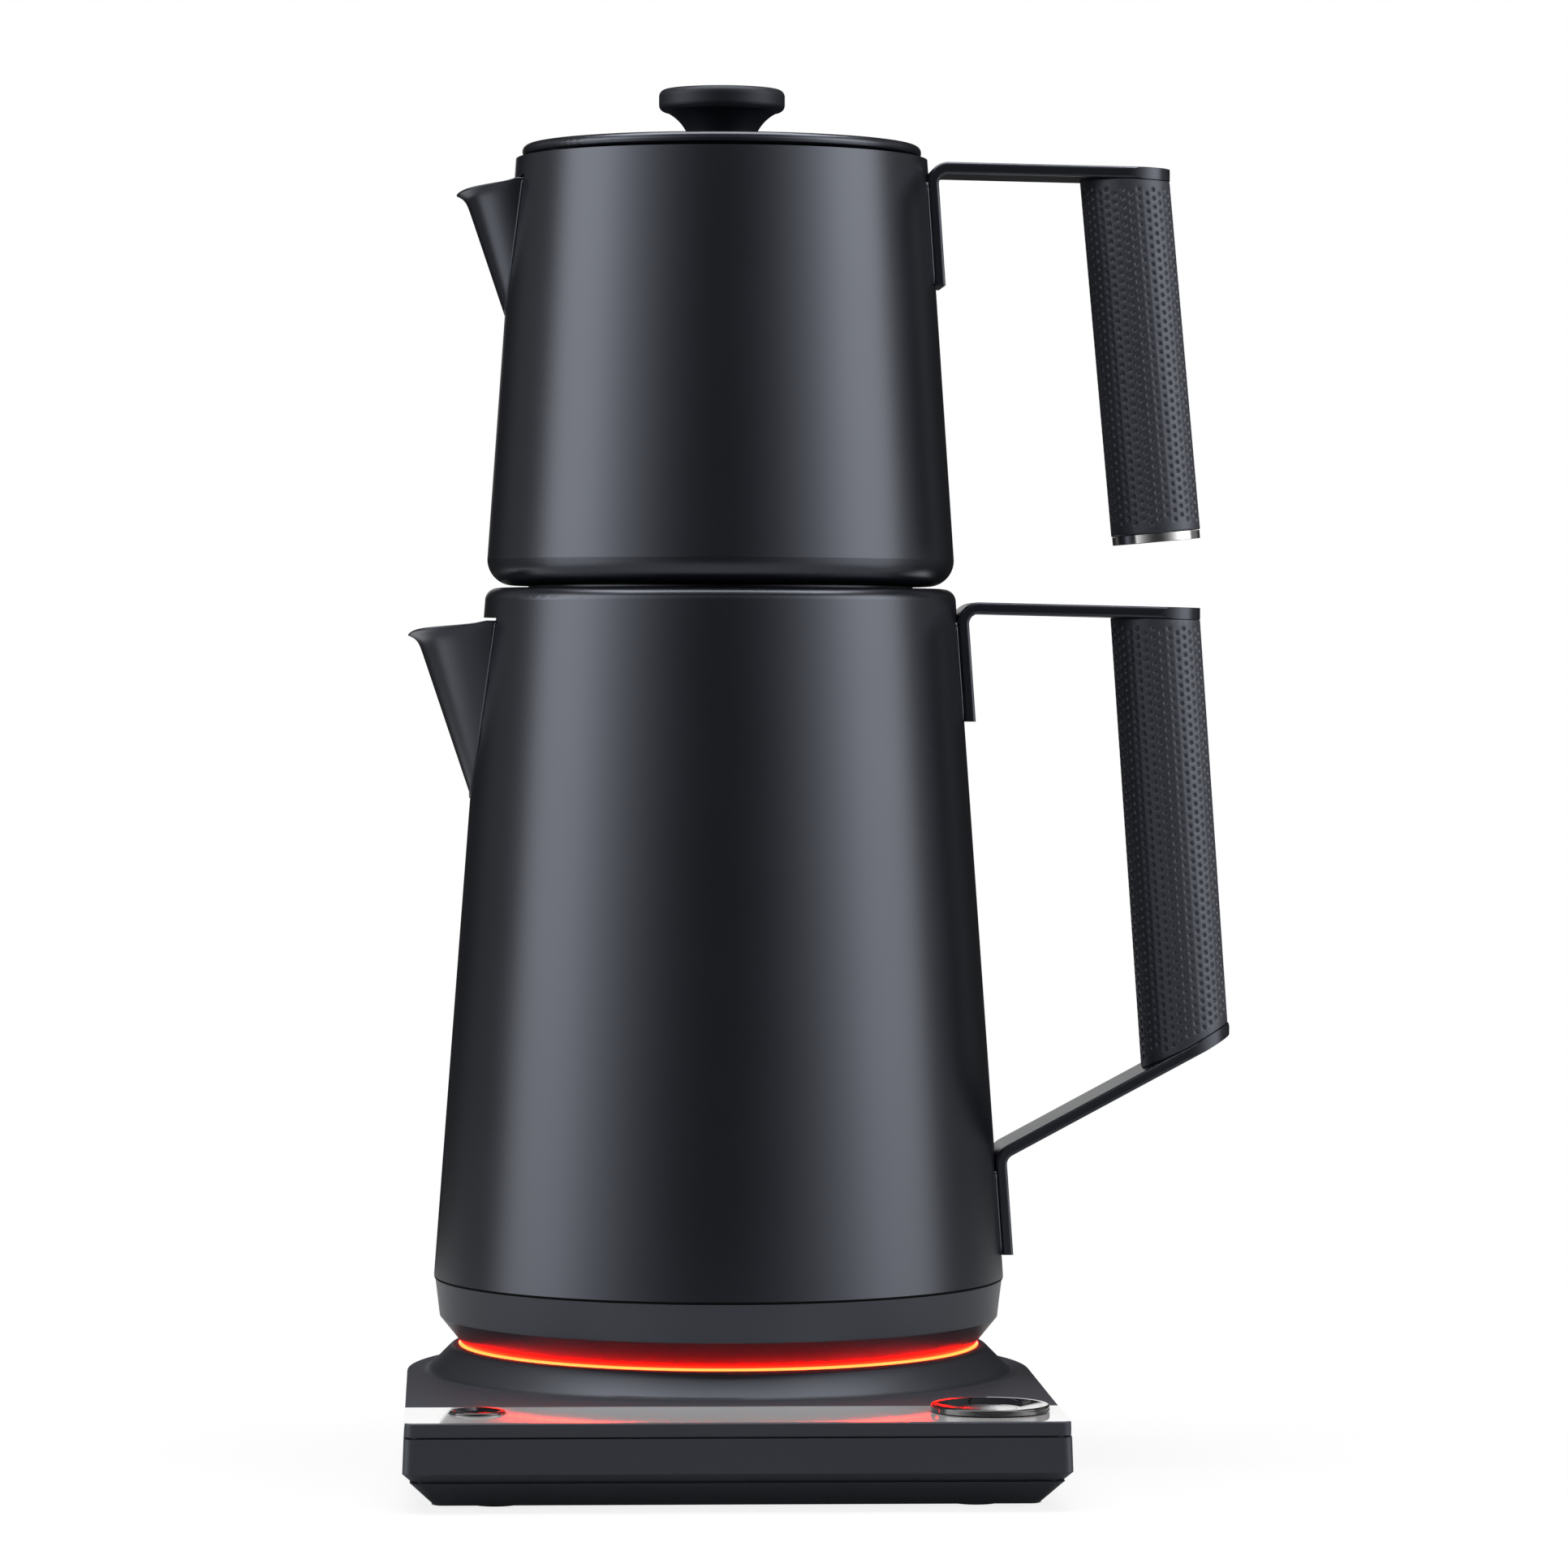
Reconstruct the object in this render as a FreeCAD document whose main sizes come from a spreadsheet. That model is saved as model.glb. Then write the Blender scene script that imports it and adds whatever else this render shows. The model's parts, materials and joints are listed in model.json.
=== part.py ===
"""Electric double tea maker: a lidded teapot on a V-spout kettle on a powered base with a light ring.

Millimetres. The origin is on the kettle's axis, on the surface that the base stands on. +Z is up, the
handles point along +X, the spouts along -X, and the front of the base, with its dial, faces -Y.
"""
import FreeCAD
import Part
import Sketcher

import math
import os

# Driving dimensions: sheet name, value, what it is
DIMENSIONS = [
    ("foot_height", 1.0, "gap between the tray and the table"),
    ("foot_radius", 6.0, "rubber foot"),
    ("foot_recess", 1.0, "depth of a foot in the tray"),
    ("base_half_width", 80.3, "half the width of the base, and the radius of its round back"),
    ("base_front", 117.0, "kettle axis to the front face of the base"),
    ("base_corner", 2.2, "radius of the two front corners"),
    ("tray_top", 7.45, "height of the joint between tray and housing"),
    ("tray_inset", 1.8, "tray edge inside the housing band, at the joint"),
    ("tray_slope", 5.7, "how far the tray draws in towards the table"),
    ("tray_wall", 9.2, "width of the tray's sloping wall"),
    ("tray_floor", 2.2, "thickness of the tray's floor"),
    ("shadow_gap", 0.5, "height of the dark joints round the base"),
    ("register_inset", 1.6, "depth of the dark joints round the base"),
    ("housing_bevel", 1.9, "bevel under the housing band"),
    ("housing_draft", 0.3, "draft of the housing band"),
    ("housing_top", 17.7, "height of the joint between housing and deck"),
    ("housing_wall", 6.0, "wall of the housing at its foot"),
    ("deck_inset", 0.5, "deck edge inside the housing band"),
    ("deck_top", 21.4, "height of the deck"),
    ("deck_edge", 0.3, "rounded edge of the deck"),
    ("panel_back", 82.6, "kettle axis to the back edge of the control strip"),
    ("panel_rim", 1.6, "deck edge in front of the control strip"),
    ("panel_thickness", 1.2, "control strip"),
    ("pedestal_foot_radius", 75.0, "where the pedestal's cone would meet the deck"),
    ("pedestal_top", 28.2, "height of the pedestal's edge"),
    ("pedestal_foot_fillet", 4.0, "hollow round the pedestal"),
    ("pedestal_edge_fillet", 2.6, "rounded edge of the pedestal"),
    ("pedestal_wall", 3.0, "wall of the pedestal's cone"),
    ("seat_top", 28.2, "height of the seat under the kettle"),
    ("seat_thickness", 2.6, "seat plate"),
    ("ring_outer", 65.9, "light ring"),
    ("ring_width", 6.0, "light ring"),
    ("ring_bed", 24.8, "height of the light ring's bed"),
    ("ring_top", 28.5, "height of the light ring"),
    ("ring_lip_radius", 66.6, "lip of the light ring over the pedestal's edge"),
    ("ring_lip", 0.15, "lip of the light ring over the pedestal's edge"),
    ("ring_play", 0.2, "gap beside the light ring"),
    ("bed_thickness", 1.8, "floor under the light ring"),
    ("led_radius", 1.5, "one LED"),
    ("led_hole_play", 0.3, "gap round an LED"),
    ("led_height", 1.4, "one LED"),
    ("board_thickness", 1.6, "circuit boards"),
    ("boss_radius", 2.9, "screw boss of the deck"),
    ("boss_front_x", 70.5, "front screw bosses"),
    ("boss_front_y", 106.5, "front screw bosses"),
    ("boss_back_circle", 69.0, "circle of the back screw bosses"),
    ("screw_radius", 1.3, "base screw"),
    ("screw_head_radius", 2.8, "base screw"),
    ("screw_head_height", 2.0, "base screw"),
    ("screw_length", 13.0, "base screw"),
    ("dial_x", 62.0, "dial"),
    ("dial_y", 93.5, "dial, in front of the kettle axis"),
    ("dial_radius", 14.5, "dial"),
    ("dial_height", 1.65, "dial"),
    ("dial_gap", 0.15, "gap under the dial"),
    ("dial_dish", 1.0, "depth of the dial's dished top"),
    ("dial_cap_radius", 6.6, "bright disc in the dial"),
    ("dial_cap_thickness", 0.5, "bright disc in the dial"),
    ("shaft_radius", 3.0, "dial shaft"),
    ("shaft_play", 0.05, "running gap round the dial shaft"),
    ("button_x", 62.3, "button, left of the kettle axis"),
    ("button_y", 94.5, "button, in front of the kettle axis"),
    ("button_radius", 6.8, "button"),
    ("button_play", 0.3, "gap round the button"),
    ("button_rise", 0.7, "button above the control strip"),
    ("button_height", 2.6, "button"),
    ("button_dish", 0.6, "depth of the button's dished top"),
    ("stem_radius", 1.8, "button stem"),
    ("gland_level", 13.2, "height of the cord gland"),
    ("gland_bore", 3.4, "bore of the cord gland"),
    ("gland_nose", 4.9, "round nose of the cord gland"),
    ("gland_half_width", 6.5, "slot that the cord gland fills in the housing"),
    ("gland_flange", 2.0, "flange that holds the cord gland inside the housing"),
    ("gland_inner", 71.6, "kettle axis to the inner end of the cord gland"),
    ("gland_face", 77.8, "kettle axis to the cord gland's face in the slot"),
    ("gland_outer", 82.0, "kettle axis to the end of the cord gland's nose"),
    ("connector_radius", 15.0, "connector boss"),
    ("connector_top", 39.6, "height of the connector boss"),
    ("connector_flange", 22.0, "connector flange under the seat"),
    ("connector_hole", 18.4, "hole of the seat"),
    ("contact_floor", 30.6, "floor of the contact grooves"),
    ("pin_hole", 3.0, "centre contact hole"),
    ("groove_inner", 7.4, "ring contact groove"),
    ("groove_outer", 10.0, "ring contact groove"),
    ("sleeve_wall", 0.4, "contact sleeves"),
    ("socket_radius", 21.5, "socket half of the connector"),
    ("socket_play", 0.4, "gap round the connector boss and the socket"),
    ("socket_top", 46.6, "height of the socket"),
    ("collar_bottom", 28.8, "height of the kettle's underside"),
    ("collar_bottom_radius", 66.0, "kettle's underside"),
    ("collar_knee", 35.6, "height of the collar's edge"),
    ("collar_knee_radius", 71.5, "collar's edge"),
    ("collar_top_radius", 72.75, "collar at its joint with the body"),
    ("collar_wall", 2.7, "collar"),
    ("collar_hole", 56.0, "opening under the collar"),
    ("collar_lip", 3.8, "lip of the collar inside the body"),
    ("seam", 45.8, "height of the joint between collar and body"),
    ("kettle_radius", 73.0, "kettle body at the joint"),
    ("kettle_taper", 0.0737, "slope of the kettle body"),
    ("kettle_wall", 1.0, "kettle body"),
    ("kettle_top", 221.6, "height of the kettle body"),
    ("kettle_shoulder", 3.3, "rounded shoulder of the kettle body"),
    ("kettle_mouth", 50.0, "mouth of the kettle"),
    ("kettle_neck", 7.0, "depth of the lip turned into the mouth"),
    ("floor_level", 55.6, "height of the kettle's floor"),
    ("floor_thickness", 1.2, "kettle's floor"),
    ("stud_circle", 60.0, "studs under the kettle's floor"),
    ("stud_radius", 3.6, "studs under the kettle's floor"),
    ("element_plate_radius", 52.0, "element plate"),
    ("element_plate_thickness", 3.5, "element plate"),
    ("element_radius", 42.0, "heating element"),
    ("element_width", 8.0, "heating element"),
    ("element_height", 4.5, "heating element"),
    ("element_sweep", 320.0, "degrees of the heating element"),
    ("underplate_radius", 63.0, "plate that closes the collar"),
    ("underplate_thickness", 2.5, "plate that closes the collar"),
    ("kettle_spout_tip_x", 79.85, "tip of the kettle spout"),
    ("kettle_spout_tip_z", 209.8, "tip of the kettle spout"),
    ("kettle_spout_root_z", 213.0, "top edge of the kettle spout at the body"),
    ("kettle_spout_point_x", 63.85, "lowest point of the kettle spout"),
    ("kettle_spout_point_z", 168.2, "lowest point of the kettle spout"),
    ("kettle_spout_bend_x", 76.42, "where the kettle spout turns out to its lip"),
    ("kettle_spout_bend_z", 205.4, "where the kettle spout turns out to its lip"),
    ("kettle_spout_depth", 19.8, "back of the kettle spout's cone inside the body"),
    ("spout_wall", 0.9, "spouts"),
    ("teapot_bottom", 222.2, "height of the teapot's shoulder on the kettle"),
    ("teapot_step", 4.0, "depth of the teapot's step in the kettle's mouth"),
    ("teapot_step_radius", 49.2, "teapot's step in the kettle's mouth"),
    ("teapot_radius", 60.2, "teapot at its foot, before its rounded corner"),
    ("teapot_taper", 0.0697, "slope of the teapot"),
    ("teapot_corner", 6.7, "rounded foot of the teapot"),
    ("teapot_wall", 0.8, "teapot"),
    ("teapot_top", 331.15, "height of the teapot's rim"),
    ("teapot_spout_tip_x", 67.7, "tip of the teapot spout"),
    ("teapot_spout_tip_z", 322.0, "tip of the teapot spout"),
    ("teapot_spout_root_z", 325.2, "top edge of the teapot spout at the body"),
    ("teapot_spout_point_x", 55.67, "lowest point of the teapot spout"),
    ("teapot_spout_point_z", 291.8, "lowest point of the teapot spout"),
    ("teapot_spout_bend_x", 64.5, "where the teapot spout turns out to its lip"),
    ("teapot_spout_bend_z", 317.8, "where the teapot spout turns out to its lip"),
    ("teapot_spout_depth", 16.0, "back of the teapot spout's cone inside the body"),
    ("strainer_wall", 0.5, "strainer"),
    ("strainer_gap", 0.1, "gap behind the strainer"),
    ("strainer_half_width", 19.0, "strainer"),
    ("strainer_bottom", 285.6, "strainer"),
    ("strainer_top", 324.6, "strainer"),
    ("strainer_hole", 1.1, "one strainer hole"),
    ("strip_thickness", 3.0, "handle strips"),
    ("strip_width", 23.4, "handle strips"),
    ("strip_edge", 0.8, "rounded edges of the handle strips"),
    ("strip_bend", 4.0, "bends of the handle strips"),
    ("grip_radius", 11.5, "grips"),
    ("core_radius", 6.0, "steel cores in the grips"),
    ("teapot_leg_x", 55.2, "foot of the teapot's handle strip"),
    ("teapot_leg_z", 298.9, "foot of the teapot's handle strip"),
    ("teapot_bend_x", 53.1, "corner of the teapot's handle strip"),
    ("teapot_bend_z", 328.9, "corner of the teapot's handle strip"),
    ("teapot_arm_x", 115.1, "end of the teapot's handle strip"),
    ("teapot_arm_z", 327.8, "end of the teapot's handle strip"),
    ("teapot_grip_top_x", 103.4, "axis of the teapot's grip"),
    ("teapot_grip_top_z", 327.6, "axis of the teapot's grip"),
    ("teapot_grip_end_x", 112.1, "axis of the teapot's grip"),
    ("teapot_grip_end_z", 234.0, "axis of the teapot's grip"),
    ("cap_height", 2.1, "end cap of the teapot's grip"),
    ("cap_gap", 0.5, "dark groove above the end cap"),
    ("cap_radius", 11.3, "end cap of the teapot's grip"),
    ("kettle_leg_x", 63.3, "foot of the kettle's upper strip"),
    ("kettle_leg_z", 187.8, "foot of the kettle's upper strip"),
    ("kettle_bend_x", 61.2, "corner of the kettle's upper strip"),
    ("kettle_bend_z", 216.85, "corner of the kettle's upper strip"),
    ("kettle_arm_x", 123.4, "end of the kettle's upper strip"),
    ("kettle_arm_z", 215.55, "end of the kettle's upper strip"),
    ("lower_leg_x", 73.4, "foot of the kettle's lower strip"),
    ("lower_leg_z", 51.55, "foot of the kettle's lower strip"),
    ("lower_bend_x", 71.54, "corner of the kettle's lower strip"),
    ("lower_bend_z", 77.0, "corner of the kettle's lower strip"),
    ("lower_end_x", 131.4, "end of the kettle's lower strip"),
    ("lower_end_z", 109.2, "end of the kettle's lower strip"),
    ("kettle_grip_top_x", 111.75, "axis of the kettle's grip"),
    ("kettle_grip_top_z", 215.6, "axis of the kettle's grip"),
    ("kettle_grip_end_x", 120.0, "axis of the kettle's grip"),
    ("kettle_grip_end_z", 102.6, "axis of the kettle's grip"),
    ("lid_radius", 51.0, "lid"),
    ("lid_bottom", 331.3, "height of the lid's underside"),
    ("lid_thickness", 3.35, "lid"),
    ("lid_crown", 1.4, "rise of the lid towards its knob"),
    ("skirt_radius", 49.4, "locating skirt under the lid"),
    ("skirt_wall", 0.8, "locating skirt under the lid"),
    ("skirt_depth", 10.0, "locating skirt under the lid"),
    ("lid_knob_neck", 8.8, "neck of the lid's knob"),
    ("lid_knob_radius", 16.1, "lid's knob"),
    ("lid_knob_rim", 343.35, "height of the knob's rim, underneath"),
    ("lid_knob_top", 349.1, "height of the lid's knob"),
    ("lid_knob_edge", 1.8, "rounded edges of the lid's knob"),
    ("lid_knob_flare", 11.0, "hollow of the lid's knob"),
    ("lid_screw_radius", 2.0, "screw of the lid's knob"),
    ("lid_screw_head", 4.0, "screw of the lid's knob"),
]

LED_COUNT = 24
STUD_COUNT = 3
STRAINER_COLUMNS = 9
STRAINER_ROWS = 10
FULL_TURN = 360.0
PEDESTAL_ANGLE = 45.0

# Lengths that only have to reach past what they cut
PROBE = 60.0
OVERRUN = 0.5
TOUCH = 1e-6
ROD_OVERRUN = 12.0
LINE_REACH = 100.0
LINE_RISE = 140.0
LINE_DROP = 60.0

doc = FreeCAD.newDocument("double_tea_maker")
sheet = doc.addObject("Spreadsheet::Sheet", "Sizes")
nodes = {}


class Size:
    """A number that remembers the sheet expression it comes from."""

    def __init__(self, value, text):
        self.value = float(value)
        self.text = text

    def join(self, other, sign, value):
        return Size(value, f"({self.text} {sign} {other.text})")

    def __add__(self, other):
        other = sized(other)
        return self.join(other, "+", self.value + other.value)

    def __sub__(self, other):
        other = sized(other)
        return self.join(other, "-", self.value - other.value)

    def __mul__(self, other):
        other = sized(other)
        return self.join(other, "*", self.value * other.value)

    def __truediv__(self, other):
        other = sized(other)
        return self.join(other, "/", self.value / other.value)

    def __radd__(self, other):
        return sized(other) + self

    def __rsub__(self, other):
        return sized(other) - self

    def __rmul__(self, other):
        return sized(other) * self

    def __neg__(self):
        return Size(-self.value, f"(0 - {self.text})")


class Dimensions:
    """The sheet's cells as named sizes."""


def sized(number):
    """A size from a size or a plain number."""
    if isinstance(number, Size):
        return number
    return Size(number, repr(float(number)))


def root(size):
    return Size(math.sqrt(size.value), f"sqrt({size.text})")


def tangent(degrees):
    return Size(math.tan(math.radians(degrees)), f"tan({degrees})")


def cosine(degrees):
    return Size(math.cos(math.radians(degrees)), f"cos({degrees})")


def sine(degrees):
    return Size(math.sin(math.radians(degrees)), f"sin({degrees})")


def fill_sheet():
    """Write the driving dimensions to the sheet and give them back as sizes."""
    sizes = Dimensions()
    for row, (alias, value, note) in enumerate(DIMENSIONS, start=1):
        sheet.set(f"A{row}", note)
        sheet.set(f"B{row}", str(value))
        sheet.setAlias(f"B{row}", alias)
        setattr(sizes, alias, Size(value, f"Sizes.{alias}"))
    doc.recompute()
    return sizes


d = fill_sheet()


# Sketches and features

def new_body(label):
    body = doc.addObject("PartDesign::Body", label)
    body.Label = label
    nodes[label] = body
    return body


def new_sketch(body, plane, height):
    """An empty sketch on one of the body's origin planes, or at a bound height above it."""
    sketch = body.newObject("Sketcher::SketchObject", "Sketch")
    support = next(item for item in body.Origin.OriginFeatures if item.Role == plane)
    sketch.AttachmentSupport = [(support, "")]
    sketch.MapMode = "FlatFace"
    height = sized(height)
    sketch.AttachmentOffset = FreeCAD.Placement(FreeCAD.Vector(0, 0, height.value), FreeCAD.Rotation())
    sketch.setExpression("AttachmentOffset.Base.z", height.text)
    return sketch


def bind(sketch, constraint, size):
    index = sketch.addConstraint(constraint)
    sketch.setExpression(f"Constraints[{index}]", size.text)


def pin_point(sketch, edge, end, x, y):
    """Hold one end of an edge at a bound place."""
    for size, kind, axis in ((x, "DistanceX", -2), (y, "DistanceY", -1)):
        if abs(size.value) < TOUCH:
            sketch.addConstraint(Sketcher.Constraint("PointOnObject", edge, end, axis))
        else:
            bind(sketch, Sketcher.Constraint(kind, -1, 1, edge, end, size.value), size)


def flat(x, y):
    return FreeCAD.Vector(x.value, y.value, 0)


def arc_between(start, finish, radius):
    """The short arc from start to finish, anticlockwise for a positive radius."""
    chord = finish - start
    left = FreeCAD.Vector(-chord.y, chord.x, 0)
    left.normalize()
    rise = math.sqrt(max(radius * radius - chord.Length ** 2 / 4, 0.0))
    centre = (start + finish) * 0.5 + left * math.copysign(rise, radius)
    first, last = (start, finish) if radius > 0 else (finish, start)
    angles = [math.atan2(point.y - centre.y, point.x - centre.x) for point in (first, last)]
    circle = Part.Circle(centre, FreeCAD.Vector(0, 0, 1), abs(radius))
    return Part.ArcOfCircle(circle, *angles)


def add_outline(sketch, points):
    """Close an outline through points (x, y) or (x, y, radius of the arc to the next point)."""
    corners = [(sized(point[0]), sized(point[1])) for point in points]
    edges = []
    for index, point in enumerate(points):
        start = flat(*corners[index])
        finish = flat(*corners[(index + 1) % len(points)])
        if len(point) == 2:
            edges.append((sketch.addGeometry(Part.LineSegment(start, finish), False), 1, 2))
            continue
        radius = sized(point[2])
        edge = sketch.addGeometry(arc_between(start, finish, radius.value), False)
        edges.append((edge, 1, 2) if radius.value > 0 else (edge, 2, 1))
    for index, (edge, _, tail) in enumerate(edges):
        after, after_head, _ = edges[(index + 1) % len(edges)]
        sketch.addConstraint(Sketcher.Constraint("Coincident", edge, tail, after, after_head))
    for index, (edge, head, _) in enumerate(edges):
        pin_point(sketch, edge, head, *corners[index])
        if len(points[index]) > 2:
            radius = sized(points[index][2])
            radius = radius if radius.value > 0 else -radius
            bind(sketch, Sketcher.Constraint("Radius", edge, radius.value), radius)


def add_circle(sketch, x, y, radius):
    x, y, radius = sized(x), sized(y), sized(radius)
    centre = Part.Circle(flat(x, y), FreeCAD.Vector(0, 0, 1), radius.value)
    edge = sketch.addGeometry(centre, False)
    pin_point(sketch, edge, 3, x, y)
    bind(sketch, Sketcher.Constraint("Radius", edge, radius.value), radius)


def outline(body, plane, points, height=0):
    sketch = new_sketch(body, plane, height)
    add_outline(sketch, points)
    return sketch


def circles(body, places, radius, height=0, plane="XY_Plane"):
    sketch = new_sketch(body, plane, height)
    for x, y in places:
        add_circle(sketch, x, y, radius)
    return sketch


def rectangle(left, right, low, high):
    return [(left, low), (right, low), (right, high), (left, high)]


def pad(body, sketch, length, side="One side", kind="PartDesign::Pad", back=False):
    feature = body.newObject(kind, "Extrusion")
    feature.Profile = sketch
    feature.SideType = side
    feature.Reversed = back
    feature.setExpression("Length", sized(length).text)
    body.Tip = feature
    return feature


def pocket(body, sketch, length, side="One side", up=False):
    """Cut the sketch out: downwards from it, upwards, or to both sides."""
    return pad(body, sketch, length, side, "PartDesign::Pocket", up)


def turn(body, points, kind="PartDesign::Revolution", angle=FULL_TURN):
    """Turn a half section (radius, height) about the Z axis."""
    sketch = outline(body, "XZ_Plane", points)
    feature = body.newObject(kind, "Turning")
    feature.Profile = sketch
    feature.ReferenceAxis = (sketch, ["V_Axis"])
    feature.setExpression("Angle", sized(angle).text)
    body.Tip = feature
    return feature


def groove(body, points):
    return turn(body, points, "PartDesign::Groove")


def loft(body, sketches, kind="PartDesign::AdditiveLoft"):
    """Straight-sided loft through sketches with alike edges."""
    feature = body.newObject(kind, "Loft")
    feature.Profile = sketches[0]
    feature.Sections = sketches[1:]
    feature.Ruled = True
    body.Tip = feature
    return feature


def round_top(body, height, radius):
    """Round the open edges of the last feature at a height: its outline, but no whole circles."""
    feature = body.Tip
    doc.recompute()
    names = []
    for number, edge in enumerate(feature.Shape.Edges, start=1):
        level = all(abs(corner.Z - height.value) < TOUCH for corner in edge.Vertexes)
        if level and not edge.isClosed():
            names.append(f"Edge{number}")
    rounding = body.newObject("PartDesign::Fillet", "Rounding")
    rounding.Base = (feature, names)
    rounding.setExpression("Radius", radius.text)
    body.Tip = rounding


def on_circle(radius, count, start=0.0):
    """Places spread evenly round the kettle axis."""
    angles = [start + index * FULL_TURN / count for index in range(count)]
    return [(radius * cosine(angle), radius * sine(angle)) for angle in angles]


# Base

def d_outline(inset):
    """Plan of the base: straight front and sides, round back."""
    half = d.base_half_width - inset
    front = d.base_front - inset
    corner = d.base_corner
    return [
        (half, 0.0, half),
        (0.0, half, half),
        (-half, 0.0),
        (-half, corner - front, corner),
        (corner - half, -front),
        (half - corner, -front, corner),
        (half, corner - front),
    ]


BOSS_PLACES = on_circle(d.boss_back_circle, 4, 45.0)[:2] + [
    (d.boss_front_x, -d.boss_front_y),
    (-d.boss_front_x, -d.boss_front_y),
]
FOOT_PLACES = [(0.0, 0.0), (58.0, -98.0), (-58.0, -98.0), (36.0, 50.0), (-36.0, 50.0)]
STANDOFF_PLACES = [(36.0, -98.0), (-36.0, -98.0)]
POST_PLACES = [(30.0, 20.0), (-30.0, 20.0), (30.0, -24.0), (-30.0, -24.0)]
DIAL_PLACE = (d.dial_x, -d.dial_y)
BUTTON_PLACE = (-d.button_x, -d.button_y)
STANDOFF_RADIUS = 3.0
POST_RADIUS = 2.5
POWER_BOARD_LEVEL = 9.6
CONTROL_BOARD_LEVEL = 11.6
POWER_BOARD_PLAN = (-36.0, 36.0, -30.0, 26.0)
CONTROL_BOARD_PLAN = (-67.0, 67.0, -103.0, -84.0)
RELAY_PLAN = (-26.0, -6.0, 4.0, 20.0)
RELAY_HEIGHT = 10.5
ENCODER_HALF = 5.6
ENCODER_HEIGHT = 4.6
ENCODER_BORE = 3.6
SHAFT_FOOT = 1.3
SHAFT_HOLE_PLAY = 1.0
SWITCH_HALF = 3.0
SWITCH_HEIGHT = 3.4
BOSS_ROOT = 1.0
DECK_BOTTOM = d.housing_top + d.shadow_gap


def make_feet():
    body = new_body("rubber_feet")
    pad(body, circles(body, FOOT_PLACES, d.foot_radius), d.foot_height + d.foot_recess)


def make_tray():
    body = new_body("base_tray")
    lip = d.tray_top - d.shadow_gap
    inset = d.tray_inset + d.tray_slope
    loft(body, [
        outline(body, "XY_Plane", d_outline(inset), d.foot_height),
        outline(body, "XY_Plane", d_outline(d.tray_inset), lip),
    ])
    pad(body, outline(body, "XY_Plane", d_outline(d.tray_inset + d.register_inset), lip), d.shadow_gap)
    floor = d.foot_height + d.tray_floor
    hollow = outline(body, "XY_Plane", d_outline(d.tray_inset + d.tray_wall), d.tray_top)
    pocket(body, hollow, d.tray_top - floor)
    pad(body, circles(body, POST_PLACES, POST_RADIUS, floor), POWER_BOARD_LEVEL - floor)
    feet = circles(body, FOOT_PLACES, d.foot_radius, d.foot_height)
    pocket(body, feet, d.foot_recess, up=True)
    heads = circles(body, BOSS_PLACES, d.screw_head_radius, d.foot_height)
    pocket(body, heads, d.screw_head_height, up=True)
    pocket(body, circles(body, BOSS_PLACES, d.screw_radius, d.foot_height), d.tray_top, up=True)


def make_housing():
    body = new_body("base_housing")
    loft(body, [
        outline(body, "XY_Plane", d_outline(d.housing_bevel), d.tray_top),
        outline(body, "XY_Plane", d_outline(0.0), d.tray_top + d.housing_bevel),
        outline(body, "XY_Plane", d_outline(d.housing_draft), d.housing_top),
    ])
    rim = outline(body, "XY_Plane", d_outline(d.housing_draft + d.register_inset), d.housing_top)
    pad(body, rim, d.shadow_gap)
    hollow = outline(body, "XY_Plane", d_outline(d.housing_wall), DECK_BOTTOM)
    pocket(body, hollow, DECK_BOTTOM - d.tray_top)
    half = d.gland_half_width
    slot = rectangle(-half, half, d.base_half_width - PROBE, d.base_half_width + OVERRUN)
    pocket(body, outline(body, "XY_Plane", slot, DECK_BOTTOM), DECK_BOTTOM - d.tray_top)


def make_gland():
    """Cord bushing in its slot at the back: inner flange, block and round nose, bored through."""
    body = new_body("cord_gland")
    half = d.gland_half_width
    wide = half + d.gland_flange
    shoulder = d.gland_inner + d.gland_flange
    low, high = d.tray_top + OVERRUN / 2, d.housing_top
    block = outline(body, "XY_Plane", rectangle(-half, half, shoulder, d.gland_face), low)
    pad(body, block, high - low)
    flange = outline(body, "XY_Plane", rectangle(-wide, wide, d.gland_inner, shoulder), low)
    pad(body, flange, high - low)
    centre = [(0.0, d.gland_level)]
    nose = circles(body, centre, d.gland_nose, -d.gland_face, "XZ_Plane")
    pad(body, nose, d.gland_outer - d.gland_face, back=True)
    bore = circles(body, centre, d.gland_bore, -d.gland_inner, "XZ_Plane")
    pocket(body, bore, PROBE)


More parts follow.
